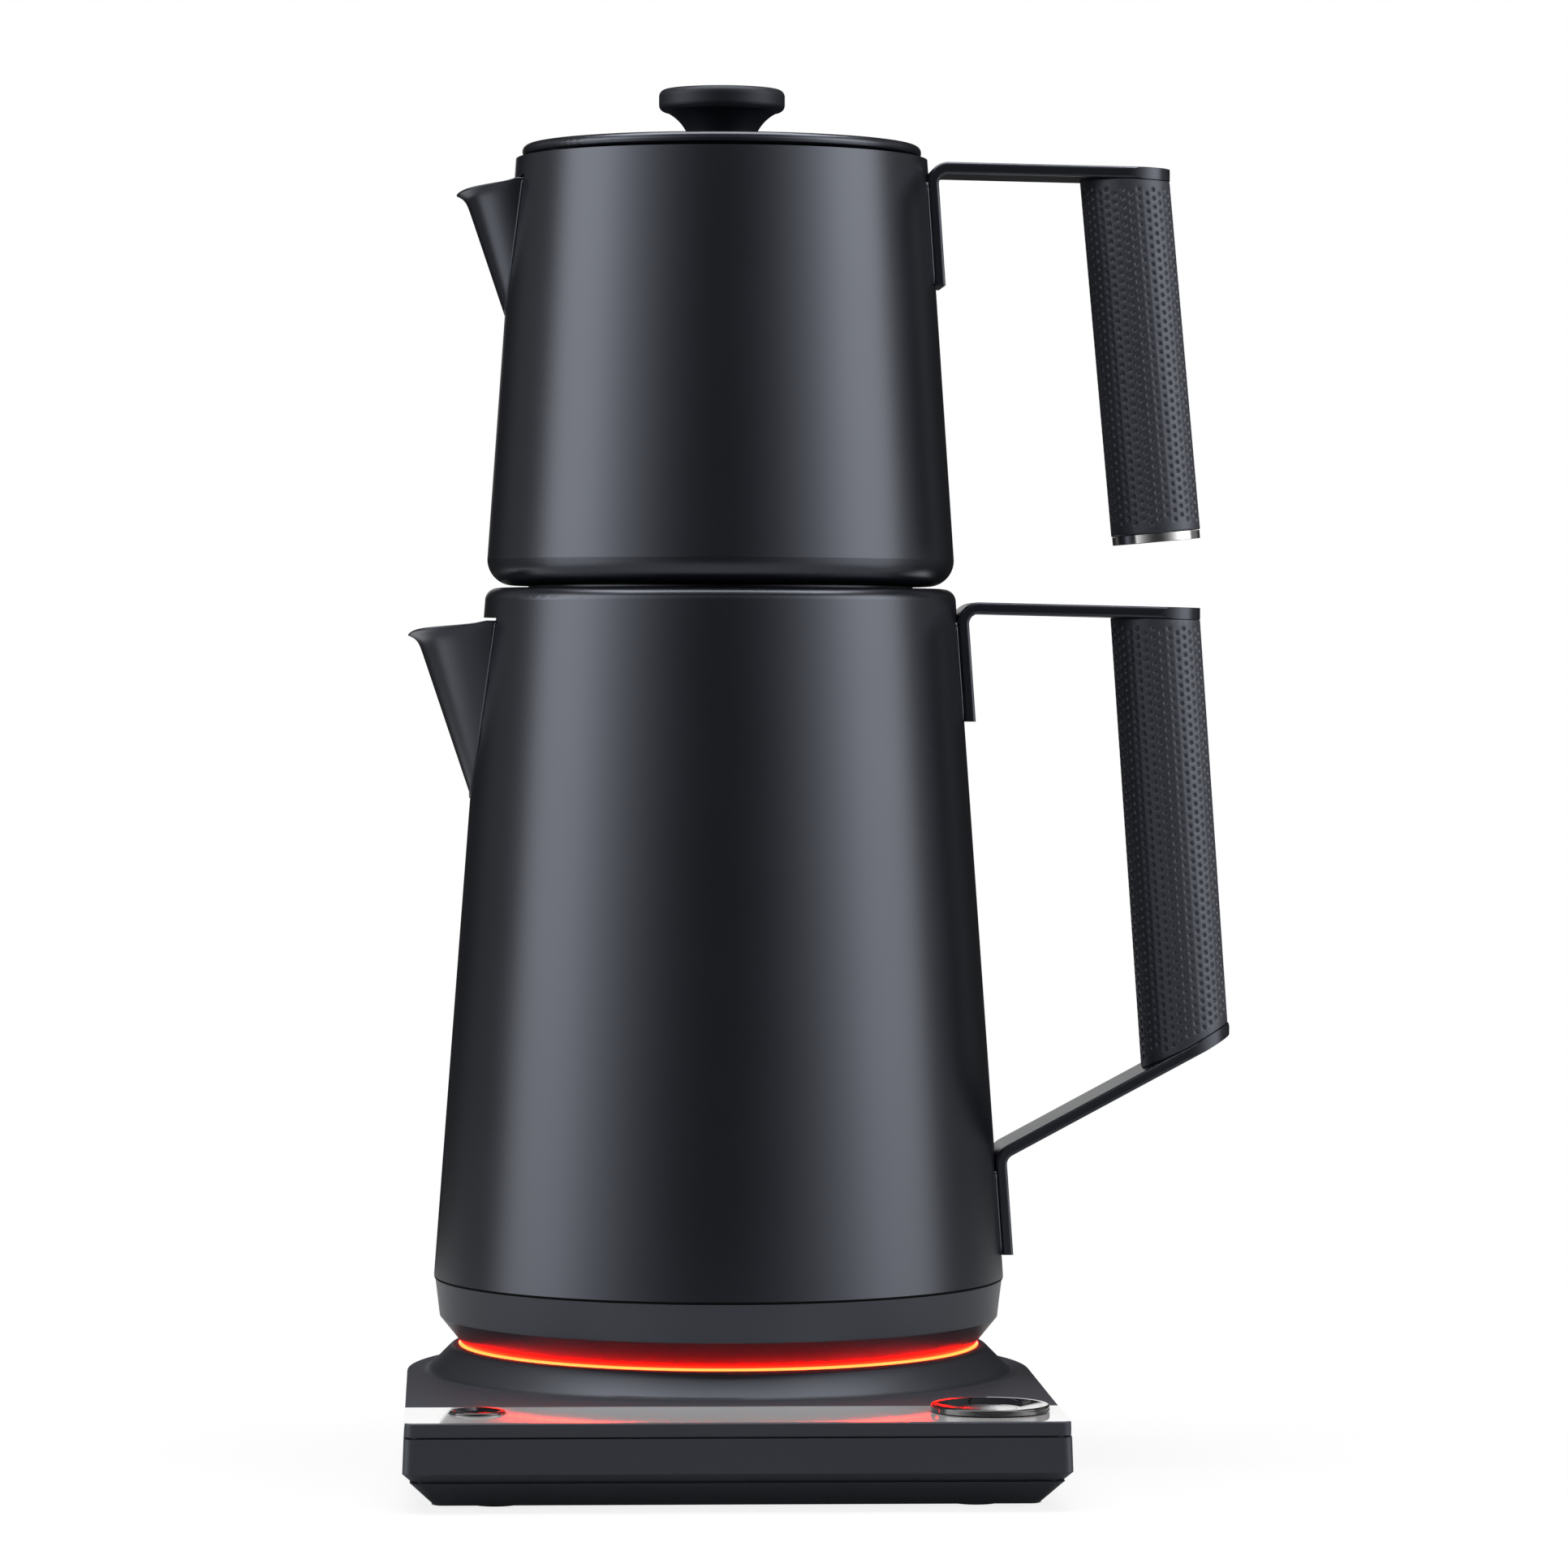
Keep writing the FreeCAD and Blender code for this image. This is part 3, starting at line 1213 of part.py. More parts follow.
def make_strainer():
    """Perforated plate that follows the wall behind the teapot's spout."""
    body = new_body("teapot_strainer")
    gap = d.teapot_wall + d.strainer_gap
    low, high = d.strainer_bottom, d.strainer_top
    turn(body, [
        (teapot_radius(low) - gap - d.strainer_wall, low),
        (teapot_radius(low) - gap, low),
        (teapot_radius(high) - gap, high),
        (teapot_radius(high) - gap - d.strainer_wall, high),
    ])
    half = d.strainer_half_width
    far = PROBE * 2
    rest = [
        (-STRAINER_CUT, -half),
        (-STRAINER_CUT, half),
        (-far, half),
        (-far, far),
        (far, far),
        (far, -far),
        (-far, -far),
        (-far, -half),
    ]
    pocket(body, outline(body, "XY_Plane", rest, d.teapot_top), far)
    holes = new_sketch(body, "YZ_Plane", 0)
    first_y = STRAINER_MARGIN - half
    first_z = low + STRAINER_MARGIN
    step_y = -2 * first_y / (STRAINER_COLUMNS - 1)
    step_z = (high - low - 2 * STRAINER_MARGIN) / (STRAINER_ROWS - 1)
    for row in range(STRAINER_ROWS):
        for column in range(STRAINER_COLUMNS):
            add_circle(holes, first_y + step_y * column, first_z + step_z * row, d.strainer_hole)
    pocket(body, holes, far)


# Lid

LID_LAND = 4.0
KNOB_STEP = 1.6
LID_SCREW_HEAD = 1.6
LID_SCREW_END = 1.0


def make_lid():
    top = d.lid_bottom + d.lid_thickness
    edge = d.lid_thickness / 2
    bore = d.lid_screw_radius
    cover = new_body("lid_cover")
    turn(cover, [
        (bore, d.lid_bottom),
        (d.lid_radius - edge, d.lid_bottom, edge),
        (d.lid_radius, d.lid_bottom + edge, edge),
        (d.lid_radius - edge, top),
        (d.lid_knob_neck + LID_LAND, top + d.lid_crown),
        (bore, top + d.lid_crown),
    ])
    skirt = new_body("lid_skirt")
    skirt_inner = d.skirt_radius - d.skirt_wall
    turn(skirt, rectangle(skirt_inner, d.skirt_radius, d.lid_bottom - d.skirt_depth, d.lid_bottom))
    knob = new_body("lid_knob")
    low = top + d.lid_crown
    round_edge = d.lid_knob_edge
    turn(knob, [
        (bore, low),
        (d.lid_knob_neck, low),
        (d.lid_knob_neck, low + KNOB_STEP, -d.lid_knob_flare),
        (d.lid_knob_radius - round_edge, d.lid_knob_rim, round_edge),
        (d.lid_knob_radius, d.lid_knob_rim + round_edge),
        (d.lid_knob_radius, d.lid_knob_top - round_edge, round_edge),
        (d.lid_knob_radius - round_edge, d.lid_knob_top),
        (0.0, d.lid_knob_top),
        (0.0, d.lid_knob_rim),
        (bore, d.lid_knob_rim),
    ])
    screw = new_body("lid_knob_screw")
    turn(screw, [
        (0.0, d.lid_bottom - LID_SCREW_HEAD),
        (d.lid_screw_head, d.lid_bottom - LID_SCREW_HEAD),
        (d.lid_screw_head, d.lid_bottom),
        (bore, d.lid_bottom),
        (bore, d.lid_knob_rim - LID_SCREW_END),
        (0.0, d.lid_knob_rim - LID_SCREW_END),
    ])


def write_parts():
    """Test every object, then write one file for each sub-part."""
    doc.recompute()
    failed = [item.Label for item in doc.Objects if {"Invalid", "Error"} & set(item.State)]
    if failed:
        raise RuntimeError(f"these did not rebuild: {failed}")
    for label, body in nodes.items():
        if body.Shape.isNull() or not body.Shape.isValid():
            raise RuntimeError(f"{label} is not a valid solid")
    os.makedirs("parts", exist_ok=True)
    for label, body in nodes.items():
        body.Shape.exportStep(f"parts/{label}.step")
        print(label, len(body.Shape.Solids), "solids", round(body.Shape.Volume), "mm3")


make_feet()
make_tray()
make_housing()
make_gland()
make_deck()
make_panel()
make_base_screws()
make_light()
make_electronics()
make_connector()
make_dial()
make_button()
make_kettle_body()
make_spout("kettle_spout", "kettle", kettle_cone())
make_collar()
make_kettle_inside()
make_socket()
make_teapot()
make_strainer()
make_handles()
make_lid()
write_parts()
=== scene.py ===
"""Electric double tea maker: finishes, pouring spouts, dimpled grips and a plain studio."""
import json
import math

import bmesh
import bpy
from mathutils import Matrix, Vector


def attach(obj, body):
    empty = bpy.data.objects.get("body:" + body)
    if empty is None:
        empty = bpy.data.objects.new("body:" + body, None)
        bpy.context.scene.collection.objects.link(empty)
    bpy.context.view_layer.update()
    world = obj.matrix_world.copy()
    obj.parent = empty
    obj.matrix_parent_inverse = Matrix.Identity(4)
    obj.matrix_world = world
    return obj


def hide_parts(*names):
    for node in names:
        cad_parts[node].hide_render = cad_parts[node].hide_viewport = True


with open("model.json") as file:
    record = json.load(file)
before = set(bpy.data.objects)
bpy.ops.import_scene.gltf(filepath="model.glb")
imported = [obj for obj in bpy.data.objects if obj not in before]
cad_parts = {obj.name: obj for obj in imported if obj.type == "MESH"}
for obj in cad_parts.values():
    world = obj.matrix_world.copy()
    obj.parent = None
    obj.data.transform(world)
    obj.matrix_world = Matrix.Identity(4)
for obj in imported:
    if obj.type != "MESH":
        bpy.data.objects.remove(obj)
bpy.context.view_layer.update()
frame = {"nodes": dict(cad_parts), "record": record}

bl_info = {
    "name": "Double Tea Maker",
    "version": (1, 0, 0),
    "blender": (4, 5, 0),
    "location": "View3D > Sidebar > Tea Maker",
    "description": "Dresses the packed tea maker with finishes, spouts, grips and a studio",
    "category": "Object",
}

MM = 0.001
WHITE = (1.0, 1.0, 1.0, 1.0)
BLACK = (0.0, 0.0, 0.0, 1.0)

# Numbers of the sockets that a mix node uses for colours.
MIX = {"factor": 0, "first": 6, "second": 7, "result": 2}


class Tap:
    """A socket of a shader tree that can stand in sums."""

    def __init__(self, tree, socket):
        self.tree = tree
        self.socket = socket

    def maths(self, operation, first, second):
        return self.tree.node("ShaderNodeMath", {"operation": operation}, {0: first, 1: second})

    def __add__(self, other):
        return self.maths("ADD", self, other)

    def __radd__(self, other):
        return self.maths("ADD", other, self)

    def __sub__(self, other):
        return self.maths("SUBTRACT", self, other)

    def __rsub__(self, other):
        return self.maths("SUBTRACT", other, self)

    def __mul__(self, other):
        return self.maths("MULTIPLY", self, other)

    def __rmul__(self, other):
        return self.maths("MULTIPLY", other, self)


class Tree:
    """The node tree of a material or of the world."""

    def __init__(self, owner):
        owner.use_nodes = True
        self.tree = owner.node_tree
        self.tree.nodes.clear()

    def node(self, kind, settings=None, sockets=None, output=0):
        """Add one node: its settings first, then the values or links of its sockets."""
        made = self.tree.nodes.new(kind)
        for name, value in (settings or {}).items():
            setattr(made, name, value)
        for key, value in (sockets or {}).items():
            if isinstance(value, Tap):
                self.tree.links.new(value.socket, made.inputs[key])
            else:
                made.inputs[key].default_value = value
        return Tap(self, made.outputs[output]) if made.outputs else None

    def place(self):
        """Position on the piece, in metres."""
        return self.node("ShaderNodeTexCoord", output="Object")

    def grain(self, size, detail=2.0, squeeze=None):
        """Noise from 0 to 1 with lumps about this size, made that much finer along the upright axis."""
        place = self.place()
        if squeeze:
            place = self.node("ShaderNodeMapping", {}, {"Vector": place, "Scale": (1.0, 1.0, squeeze)})
        return self.node("ShaderNodeTexNoise", {}, {"Vector": place, "Scale": 1.0 / size, "Detail": detail})

    def part(self, vector, axis):
        """One part of a vector: X, Y or Z."""
        return self.node("ShaderNodeSeparateXYZ", {}, {"Vector": vector}, axis)

    def facing_up(self):
        """1 on level tops, 0 on walls, -1 on undersides."""
        return self.part(self.node("ShaderNodeNewGeometry", output="Normal"), "Z")

    def ramp(self, value, low, high, at_low=0.0, at_high=1.0):
        """Smooth step from one value to another while the input goes from low to high."""
        return self.node(
            "ShaderNodeMapRange",
            {"interpolation_type": "SMOOTHSTEP"},
            {"Value": value, "From Min": low, "From Max": high, "To Min": at_low, "To Max": at_high},
        )

    def blend(self, factor, first, second):
        """Colour between two colours."""
        sockets = {MIX["factor"]: factor, MIX["first"]: first, MIX["second"]: second}
        return self.node("ShaderNodeMix", {"data_type": "RGBA"}, sockets, MIX["result"])

    def larger(self, first, second):
        """The larger of two values."""
        return self.node("ShaderNodeMath", {"operation": "MAXIMUM"}, {0: first, 1: second})

    def vary(self, mask, colour, spread):
        """A colour that the mask takes from darker to lighter."""
        darker, lighter = spread
        return self.blend(mask, shade(colour, darker), shade(colour, lighter))

    def uneven(self, value, *masks):
        """A value that each mask shifts up or down by half of its spread."""
        total = value - sum(spread for _, spread in masks) / 2
        for mask, spread in masks:
            total = total + mask * spread
        return total

    def rays(self):
        """Masks of the rays from the camera and of those that a glossy or clear surface sends on."""
        camera = self.node("ShaderNodeLightPath", output="Is Camera Ray")
        glossy = self.node("ShaderNodeLightPath", output="Is Glossy Ray")
        clear = self.node("ShaderNodeLightPath", output="Is Transmission Ray")
        return camera, glossy + clear

    def bump(self, height, depth):
        return self.node("ShaderNodeBump", {}, {"Height": height, "Distance": depth})

    def surface(self, sockets):
        shader = self.node("ShaderNodeBsdfPrincipled", {}, sockets)
        self.node("ShaderNodeOutputMaterial", {}, {"Surface": shader})


def shade(colour, factor=1.0):
    """A colour made lighter or darker, with full alpha."""
    return (colour[0] * factor, colour[1] * factor, colour[2] * factor, 1.0)


def colour_property(name, description, default):
    return bpy.props.FloatVectorProperty(
        name=name, description=description, default=default, subtype="COLOR", size=3, min=0.0, max=1.0
    )


def length_property(name, description, default):
    return bpy.props.FloatProperty(
        name=name, description=description, default=default, unit="LENGTH", precision=5, min=0.0
    )


def number_property(name, description, default):
    return bpy.props.FloatProperty(name=name, description=description, default=default, min=0.0)


def share_property(name, description, default):
    return bpy.props.FloatProperty(
        name=name, description=description, default=default, subtype="FACTOR", min=0.0, max=1.0
    )


class TeaFinishes(bpy.types.PropertyGroup):
    """Colours and gloss of the tea maker's surfaces."""

    paint: colour_property("Paint", "Matte black paint on the steel", (0.0032, 0.0035, 0.0058))
    paint_roughness: share_property("Paint roughness", "How matte the paint is", 0.29)
    knob_roughness: share_property("Knob roughness", "How matte the lid's knob is", 0.5)
    plastic: colour_property("Plastic", "Dark moulded plastic of base and collar", (0.0105, 0.0114, 0.0142))
    plastic_roughness: share_property("Plastic roughness", "How matte the plastic is", 0.44)
    level_matte: share_property("Level matte", "How much rougher the plastic is on level tops", 0.24)
    under_polish: share_property("Under polish", "How much smoother the collar is underneath", 0.1)
    shine: share_property("Shine", "Strength of the gloss on paint, plastic and rubber", 1.0)
    sheen: colour_property("Sheen", "Tint of the gloss on paint, plastic and rubber", (0.795, 0.85, 1.0))
    strip: colour_property("Control strip", "Polished strip that carries the controls", (0.86, 0.86, 0.85))
    strip_metal: share_property("Strip metal", "Share of mirror in the strip, the rest is satin", 0.5)
    rubber: colour_property("Grip rubber", "Rubber sleeves of the two grips", (0.025, 0.0262, 0.0325))
    rubber_roughness: share_property("Rubber roughness", "How matte the rubber is", 0.44)
    gloss: colour_property("Gloss black", "Dial and button", (0.008, 0.008, 0.009))
    glow: colour_property("Glow", "Colour of the lit ring", (1.0, 0.0033, 0.0006))
    glow_strength: number_property("Glow strength", "How strongly the ring shines", 180.0)
    edge_glow: colour_property("Edge glow", "Colour of the ring's thin outer edge", (1.0, 0.5, 0.08))
    edge_strength: number_property("Edge strength", "How strongly the ring's edge shines", 1.3)


class TeaSpouts(bpy.types.PropertyGroup):
    """Sizes of the two pouring spouts and of the weld beads."""

    wall: length_property("Wall", "Thickness of the spout's sheet", 0.6 * MM)
    sink: length_property("Sink", "How far the sheet runs into the body", 0.3 * MM)
    bead: length_property("Bead", "Radius of the weld bead along a joint", 0.45 * MM)


class TeaGrips(bpy.types.PropertyGroup):
    """Sizes of the dimples in the rubber grips."""

    columns: bpy.props.IntProperty(
        name="Columns", description="Dimples round a grip, an even number", default=34
    )
    pitch: length_property("Pitch", "Height from one dimple to the next", 2.24 * MM)
    dimple_radius: length_property("Dimple radius", "Radius of a dimple at the surface", 0.66 * MM)
    dimple_depth: length_property("Dimple depth", "Depth of a dimple", 0.5 * MM)
    plain_end: length_property("Plain end", "Smooth band at each end of a grip", 2.3 * MM)
    edge: length_property("Edge", "Rounding of a grip's ends", 0.35 * MM)


class TeaStudio(bpy.types.PropertyGroup):
    """Camera, lamps and floor."""

    lens: bpy.props.FloatProperty(name="Lens", description="Focal length", default=147.0, unit="CAMERA")
    eye: bpy.props.FloatVectorProperty(
        name="Eye", description="Where the camera stands", default=(-0.07015, -1.6395, 0.2061), subtype="XYZ"
    )
    target: bpy.props.FloatVectorProperty(
        name="Target", description="Middle of the view", default=(0.01638, -0.0007, 0.1716), subtype="XYZ"
    )
    roll: bpy.props.FloatProperty(
        name="Roll", description="Turn about the line of sight", default=math.radians(0.17), subtype="ANGLE"
    )
    top_power: bpy.props.FloatProperty(
        name="Top lamp", description="Power of the soft lamp overhead", default=30.0, unit="POWER"
    )
    side_light: number_property("Side lights", "Brightness of the tall soft lights at both sides", 3.6)
    ambient: number_property("Ambient", "Even light from all round", 0.02)
    floor: colour_property("Floor", "Pale floor", (0.4, 0.4, 0.4))


# Finishes by slot, filled by the finishes operator, and the nodes that take another than their slot's.
FINISHES = {}
NODE_FINISHES = {"lid_knob": "knob_paint", "kettle_collar": "collar_plastic"}

# Darkest and lightest tone of each kind of finish, as shares of its colour.
MOULDED_TONE = (0.88, 1.12)
METAL_TONE = (0.86, 1.08)
PAINT_TONE = (0.93, 1.07)
STRIP_TONE = (0.8, 1.12)
GLOSS_TONE = (0.9, 1.15)

# How far each mask spreads a roughness, or the least roughness and how much a mask adds.
MOULDED_MATTE = {"tone": 0.05, "fine": 0.03}
PAINT_MATTE = {"tone": 0.04, "peel": 0.02}
METAL_MATTE = 0.12
STRIP_MATTE = (0.04, 0.03)
GLOSS_MATTE = (0.035, 0.05)
RING_MATTE = (0.2, 0.1)
BOARD_MATTE = (0.3, 0.1)
COAT_MATTE = 0.02

# Sizes of lumps, grains and hazes.
MOULDED_LUMP = 18 * MM
PLASTIC_GRAIN = 0.5 * MM
RUBBER_GRAIN = 0.3 * MM
PAINT_LUMP = 30 * MM
PAINT_PEEL = 0.45 * MM
STRIP_FLECK = 0.3 * MM
STRIP_HAZE = 9 * MM
GLOSS_HAZE = 4 * MM
RING_LUMP = 6 * MM
BOARD_LUMP = 2 * MM
FINE_DETAIL = 3.0
FLECK_DETAIL = 4.0

# Depths of bumps.
PLASTIC_DEPTH = 0.012 * MM
COLLAR_DEPTH = 0.006 * MM
RUBBER_DEPTH = 0.006 * MM
PAINT_DEPTH = 0.006 * MM
KNOB_DEPTH = 0.01 * MM
STREAK_DEPTH = 0.004 * MM
TRACK_DEPTH = 0.03 * MM

# Upward part of the surface's normal over which level tops, undersides and the ring's top fade in or out.
LEVEL_TOP = (0.9, 0.99)
UNDERSIDE = (-0.5, -0.3)
RING_TOP = (0.3, 0.9)

NO_TINT = (1.0, 1.0, 1.0)
KNOB_GLOSS = 0.5
RING_PLASTIC = (0.5, 0.03, 0.015, 1.0)
RING_CLOUD = (0.94, 0.06)
SOLDER_MASK = (0.012, 0.11, 0.045, 1.0)
COPPER_TRACK = (0.05, 0.24, 0.09, 1.0)
TRACK_SCALE = 160.0
TRACK_WIDTH = 0.05

MOULDED = {
    "foot_rubber": {"colour": (0.03, 0.03, 0.03), "roughness": 0.75, "lump": 0.4 * MM, "depth": 0.02 * MM},
    # Near-black matte of the bead at the kettle's seam: painted shade standing in for the shadow in the gap
    # there.
    "seam_shadow_black": {
        "colour": (0.002, 0.002, 0.002), "roughness": 0.8, "lump": 0.4 * MM, "depth": 0.01 * MM,
        "gloss": 0.1,
    },
    "component_black": {
        "colour": (0.03, 0.03, 0.03), "roughness": 0.45, "lump": 0.5 * MM, "depth": 0.01 * MM,
    },
    "connector_plastic": {
        "colour": (0.04, 0.04, 0.045), "roughness": 0.42, "lump": 0.6 * MM, "depth": 0.01 * MM,
    },
}
METALS = {
    "bright_steel": {"colour": (0.8, 0.8, 0.8), "roughness": 0.08, "streak": 1.0 * MM, "squeeze": 6.0},
    "plain_steel": {"colour": (0.6, 0.6, 0.6), "roughness": 0.24, "streak": 1.5 * MM, "squeeze": 14.0},
    "cast_aluminium": {"colour": (0.7, 0.7, 0.7), "roughness": 0.4, "streak": 0.8 * MM, "squeeze": 1.0},
    "contact_brass": {"colour": (0.75, 0.58, 0.28), "roughness": 0.18, "streak": 1.0 * MM, "squeeze": 8.0},
}


def fresh_material(name):
    material = bpy.data.materials.new(name)
    return material, Tree(material)


def moulded(name, colour, roughness, lump, depth, gloss=0.5, sheen=NO_TINT, top=0.0, under=0.0):
    """Moulded surface with a fine even grain. Level tops and undersides may differ in roughness."""
    material, tree = fresh_material(name)
    tone = tree.grain(MOULDED_LUMP)
    fine = tree.grain(lump, FINE_DETAIL)
    matte = tree.uneven(roughness, (tone, MOULDED_MATTE["tone"]), (fine, MOULDED_MATTE["fine"]))
    if top:
        matte = matte + tree.ramp(tree.facing_up(), *LEVEL_TOP, 0.0, top)
    if under:
        matte = matte + tree.ramp(tree.facing_up(), *UNDERSIDE, under, 0.0)
    tree.surface({
        "Base Color": tree.vary(tone, colour, MOULDED_TONE),
        "Specular IOR Level": gloss,
        "Specular Tint": shade(sheen),
        "Roughness": matte,
        "Normal": tree.bump(fine, depth),
    })
    return material


def metal(name, colour, roughness, streak, squeeze):
    """Bare metal with level streaks, as turning or rolling leaves them."""
    material, tree = fresh_material(name)
    lines = tree.grain(streak, FINE_DETAIL, squeeze)
    tree.surface({
        "Base Color": tree.vary(lines, colour, METAL_TONE),
        "Metallic": 1.0,
        "Roughness": roughness + lines * METAL_MATTE,
        "Normal": tree.bump(lines, STREAK_DEPTH),
    })
    return material


def powder_paint(settings):
    """Black paint with the fine peel of a sprayed coat."""
    material, tree = fresh_material("black_paint")
    tone = tree.grain(PAINT_LUMP)
    peel = tree.grain(PAINT_PEEL, FINE_DETAIL)
    matte = tree.uneven(settings.paint_roughness, (tone, PAINT_MATTE["tone"]), (peel, PAINT_MATTE["peel"]))
    tree.surface({
        "Base Color": tree.vary(tone, settings.paint, PAINT_TONE),
        "Specular IOR Level": settings.shine,
        "Specular Tint": shade(settings.sheen),
        "Roughness": matte,
        "Normal": tree.bump(peel, PAINT_DEPTH),
    })
    return material


def polished_strip(settings):
    """Polished strip with a fine metallic fleck."""
    material, tree = fresh_material("polished_strip")
    fleck = tree.grain(STRIP_FLECK, FLECK_DETAIL)
    haze = tree.grain(STRIP_HAZE)
    smooth, spread = STRIP_MATTE
    tree.surface({
        "Base Color": tree.vary(fleck, settings.strip, STRIP_TONE),
        "Metallic": settings.strip_metal,
        "Roughness": smooth + haze * spread,
    })
    return material


def gloss_black(settings):
    """Glossy black with the faint haze of handling."""
    material, tree = fresh_material("gloss_black")
    haze = tree.grain(GLOSS_HAZE, FLECK_DETAIL)
    smooth, spread = GLOSS_MATTE
    tree.surface({
        "Base Color": tree.vary(haze, settings.gloss, GLOSS_TONE),
        "Roughness": smooth + haze * spread,
        "Coat Weight": 1.0,
        "Coat Roughness": COAT_MATTE,
    })
    return material


def ring_light(settings):
    """Clear red plastic lit from below: its upper faces shine, its thin edge only glows."""
    material, tree = fresh_material("ring_light")
    level = tree.ramp(tree.facing_up(), *RING_TOP)
    cloud = tree.grain(RING_LUMP)
    least, more = RING_CLOUD
    smooth, spread = RING_MATTE
    edge = shade(settings.edge_glow, settings.edge_strength / settings.glow_strength)
    tree.surface({
        "Base Color": RING_PLASTIC,
        "Roughness": smooth + cloud * spread,
        "Emission Color": tree.blend(level * (least + cloud * more), edge, shade(settings.glow)),
        "Emission Strength": settings.glow_strength,
    })
    return material


def circuit_board():
    """Green solder mask over copper tracks."""
    material, tree = fresh_material("circuit_board")
    tracks = tree.node(
        "ShaderNodeTexBrick",
        {"offset": 0.5},
        {
            "Vector": tree.place(),
            "Color1": BLACK,
            "Color2": BLACK,
            "Mortar": WHITE,
            "Scale": TRACK_SCALE,
            "Mortar Size": TRACK_WIDTH,
        },
        "Fac",
    )
    smooth, spread = BOARD_MATTE
    tree.surface({
        "Base Color": tree.blend(tracks, SOLDER_MASK, COPPER_TRACK),
        "Roughness": smooth + tree.grain(BOARD_LUMP) * spread,
        "Normal": tree.bump(tracks, TRACK_DEPTH),
    })
    return material


def make_finishes(settings):
    """One material for each of the record's slots, and those of single pieces."""
    coat = {"gloss": settings.shine, "sheen": settings.sheen}
    polish = -settings.under_polish
    plastic = {
        "colour": settings.plastic, "roughness": settings.plastic_roughness, "lump": PLASTIC_GRAIN, **coat,
    }
    rubber = {
        "colour": settings.rubber, "roughness": settings.rubber_roughness, "lump": RUBBER_GRAIN, **coat,
    }
    knob = {
        "colour": settings.paint, "roughness": settings.knob_roughness, "lump": PAINT_PEEL,
        "gloss": KNOB_GLOSS, "sheen": settings.sheen,
    }
    finishes = {name: moulded(name, **look) for name, look in MOULDED.items()}
    finishes.update({name: metal(name, **look) for name, look in METALS.items()})
    finishes.update({
        "black_paint": powder_paint(settings),
        "knob_paint": moulded("knob_paint", depth=KNOB_DEPTH, **knob),
        "dark_plastic": moulded("dark_plastic", depth=PLASTIC_DEPTH, top=settings.level_matte, **plastic),
        "collar_plastic": moulded("collar_plastic", depth=COLLAR_DEPTH, under=polish, **plastic),
        "grip_rubber": moulded("grip_rubber", depth=RUBBER_DEPTH, **rubber),
        "polished_strip": polished_strip(settings),
        "gloss_black": gloss_black(settings),
        "ring_light": ring_light(settings),
        "circuit_board": circuit_board(),
    })
    return finishes


def add_piece(name, mesh, body, slot, replaced=None, finish=None):
    """Put a piece on its body, in its finish and in place of the node that it replaces."""
    mesh.materials.append(FINISHES[finish or slot])
    piece = bpy.data.objects.new(name, mesh)
    bpy.context.scene.collection.objects.link(piece)
    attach(piece, body)
    if replaced:
        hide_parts(replaced)


JOIN_DISTANCE = 0.002 * MM

# Slanting line along which a piece's faces are put in order, so that each run gives the same order.
ORDER_LINE = Vector((0.31, 0.87, 1.93))


def mesh_from(name, work):
    """Finish a bmesh: join doubled points, turn faces outward, put them in order, shade smooth."""
    bmesh.ops.remove_doubles(work, verts=work.verts, dist=JOIN_DISTANCE)
    bmesh.ops.recalc_face_normals(work, faces=work.faces)
    work.faces.sort(key=lambda face: face.calc_center_median().dot(ORDER_LINE))
    for face in work.faces:
        face.smooth = True
    mesh = bpy.data.meshes.new(name)
    work.to_mesh(mesh)
    work.free()
    return mesh


# Sizes of the spouts, beads and grips below are in millimetres, with heights above the table.
# Wall and taper give the body's cone. A spout's front line runs from its point through its bend.
# Depth is how far a section reaches behind the point, and root and tip are heights of the top edge.
# Flare and reach shape the lip, fall and power the slope of the edge.
SPOUTS = {
    "kettle": {
        "wall_radius": 73.0, "wall_level": 45.8, "taper": 0.0737,
        "point": (63.85, 168.2), "bend": (76.42, 205.4), "depth": 19.8, "root": 212.35, "tip": 209.25,
        "flare": 2.0, "reach": 0.8, "fall": 0.62, "power": 12.4,
    },
    "teapot": {
        "wall_radius": 60.2, "wall_level": 222.2, "taper": 0.0697,
        "point": (55.67, 291.8), "bend": (64.5, 317.8), "depth": 16.0, "root": 324.55, "tip": 321.4,
        "flare": 1.85, "reach": 0.83, "fall": 0.77, "power": 9.0,
    },
}
ROOT_LIFT = 0.5
ROOT_REACH = 0.07
JOINT_DROP = 0.3

# Rows lie closer together towards the rim.
SPOUT_COLUMNS = 48
SPOUT_ROWS = 40
ROW_POWER = 1.5
RIM_STEPS = 5

# Steps by which the outer face is probed for its directions.
PROBE_STEP = 0.004
PROBE_FOOT = 0.02
SMALLEST = 1e-9


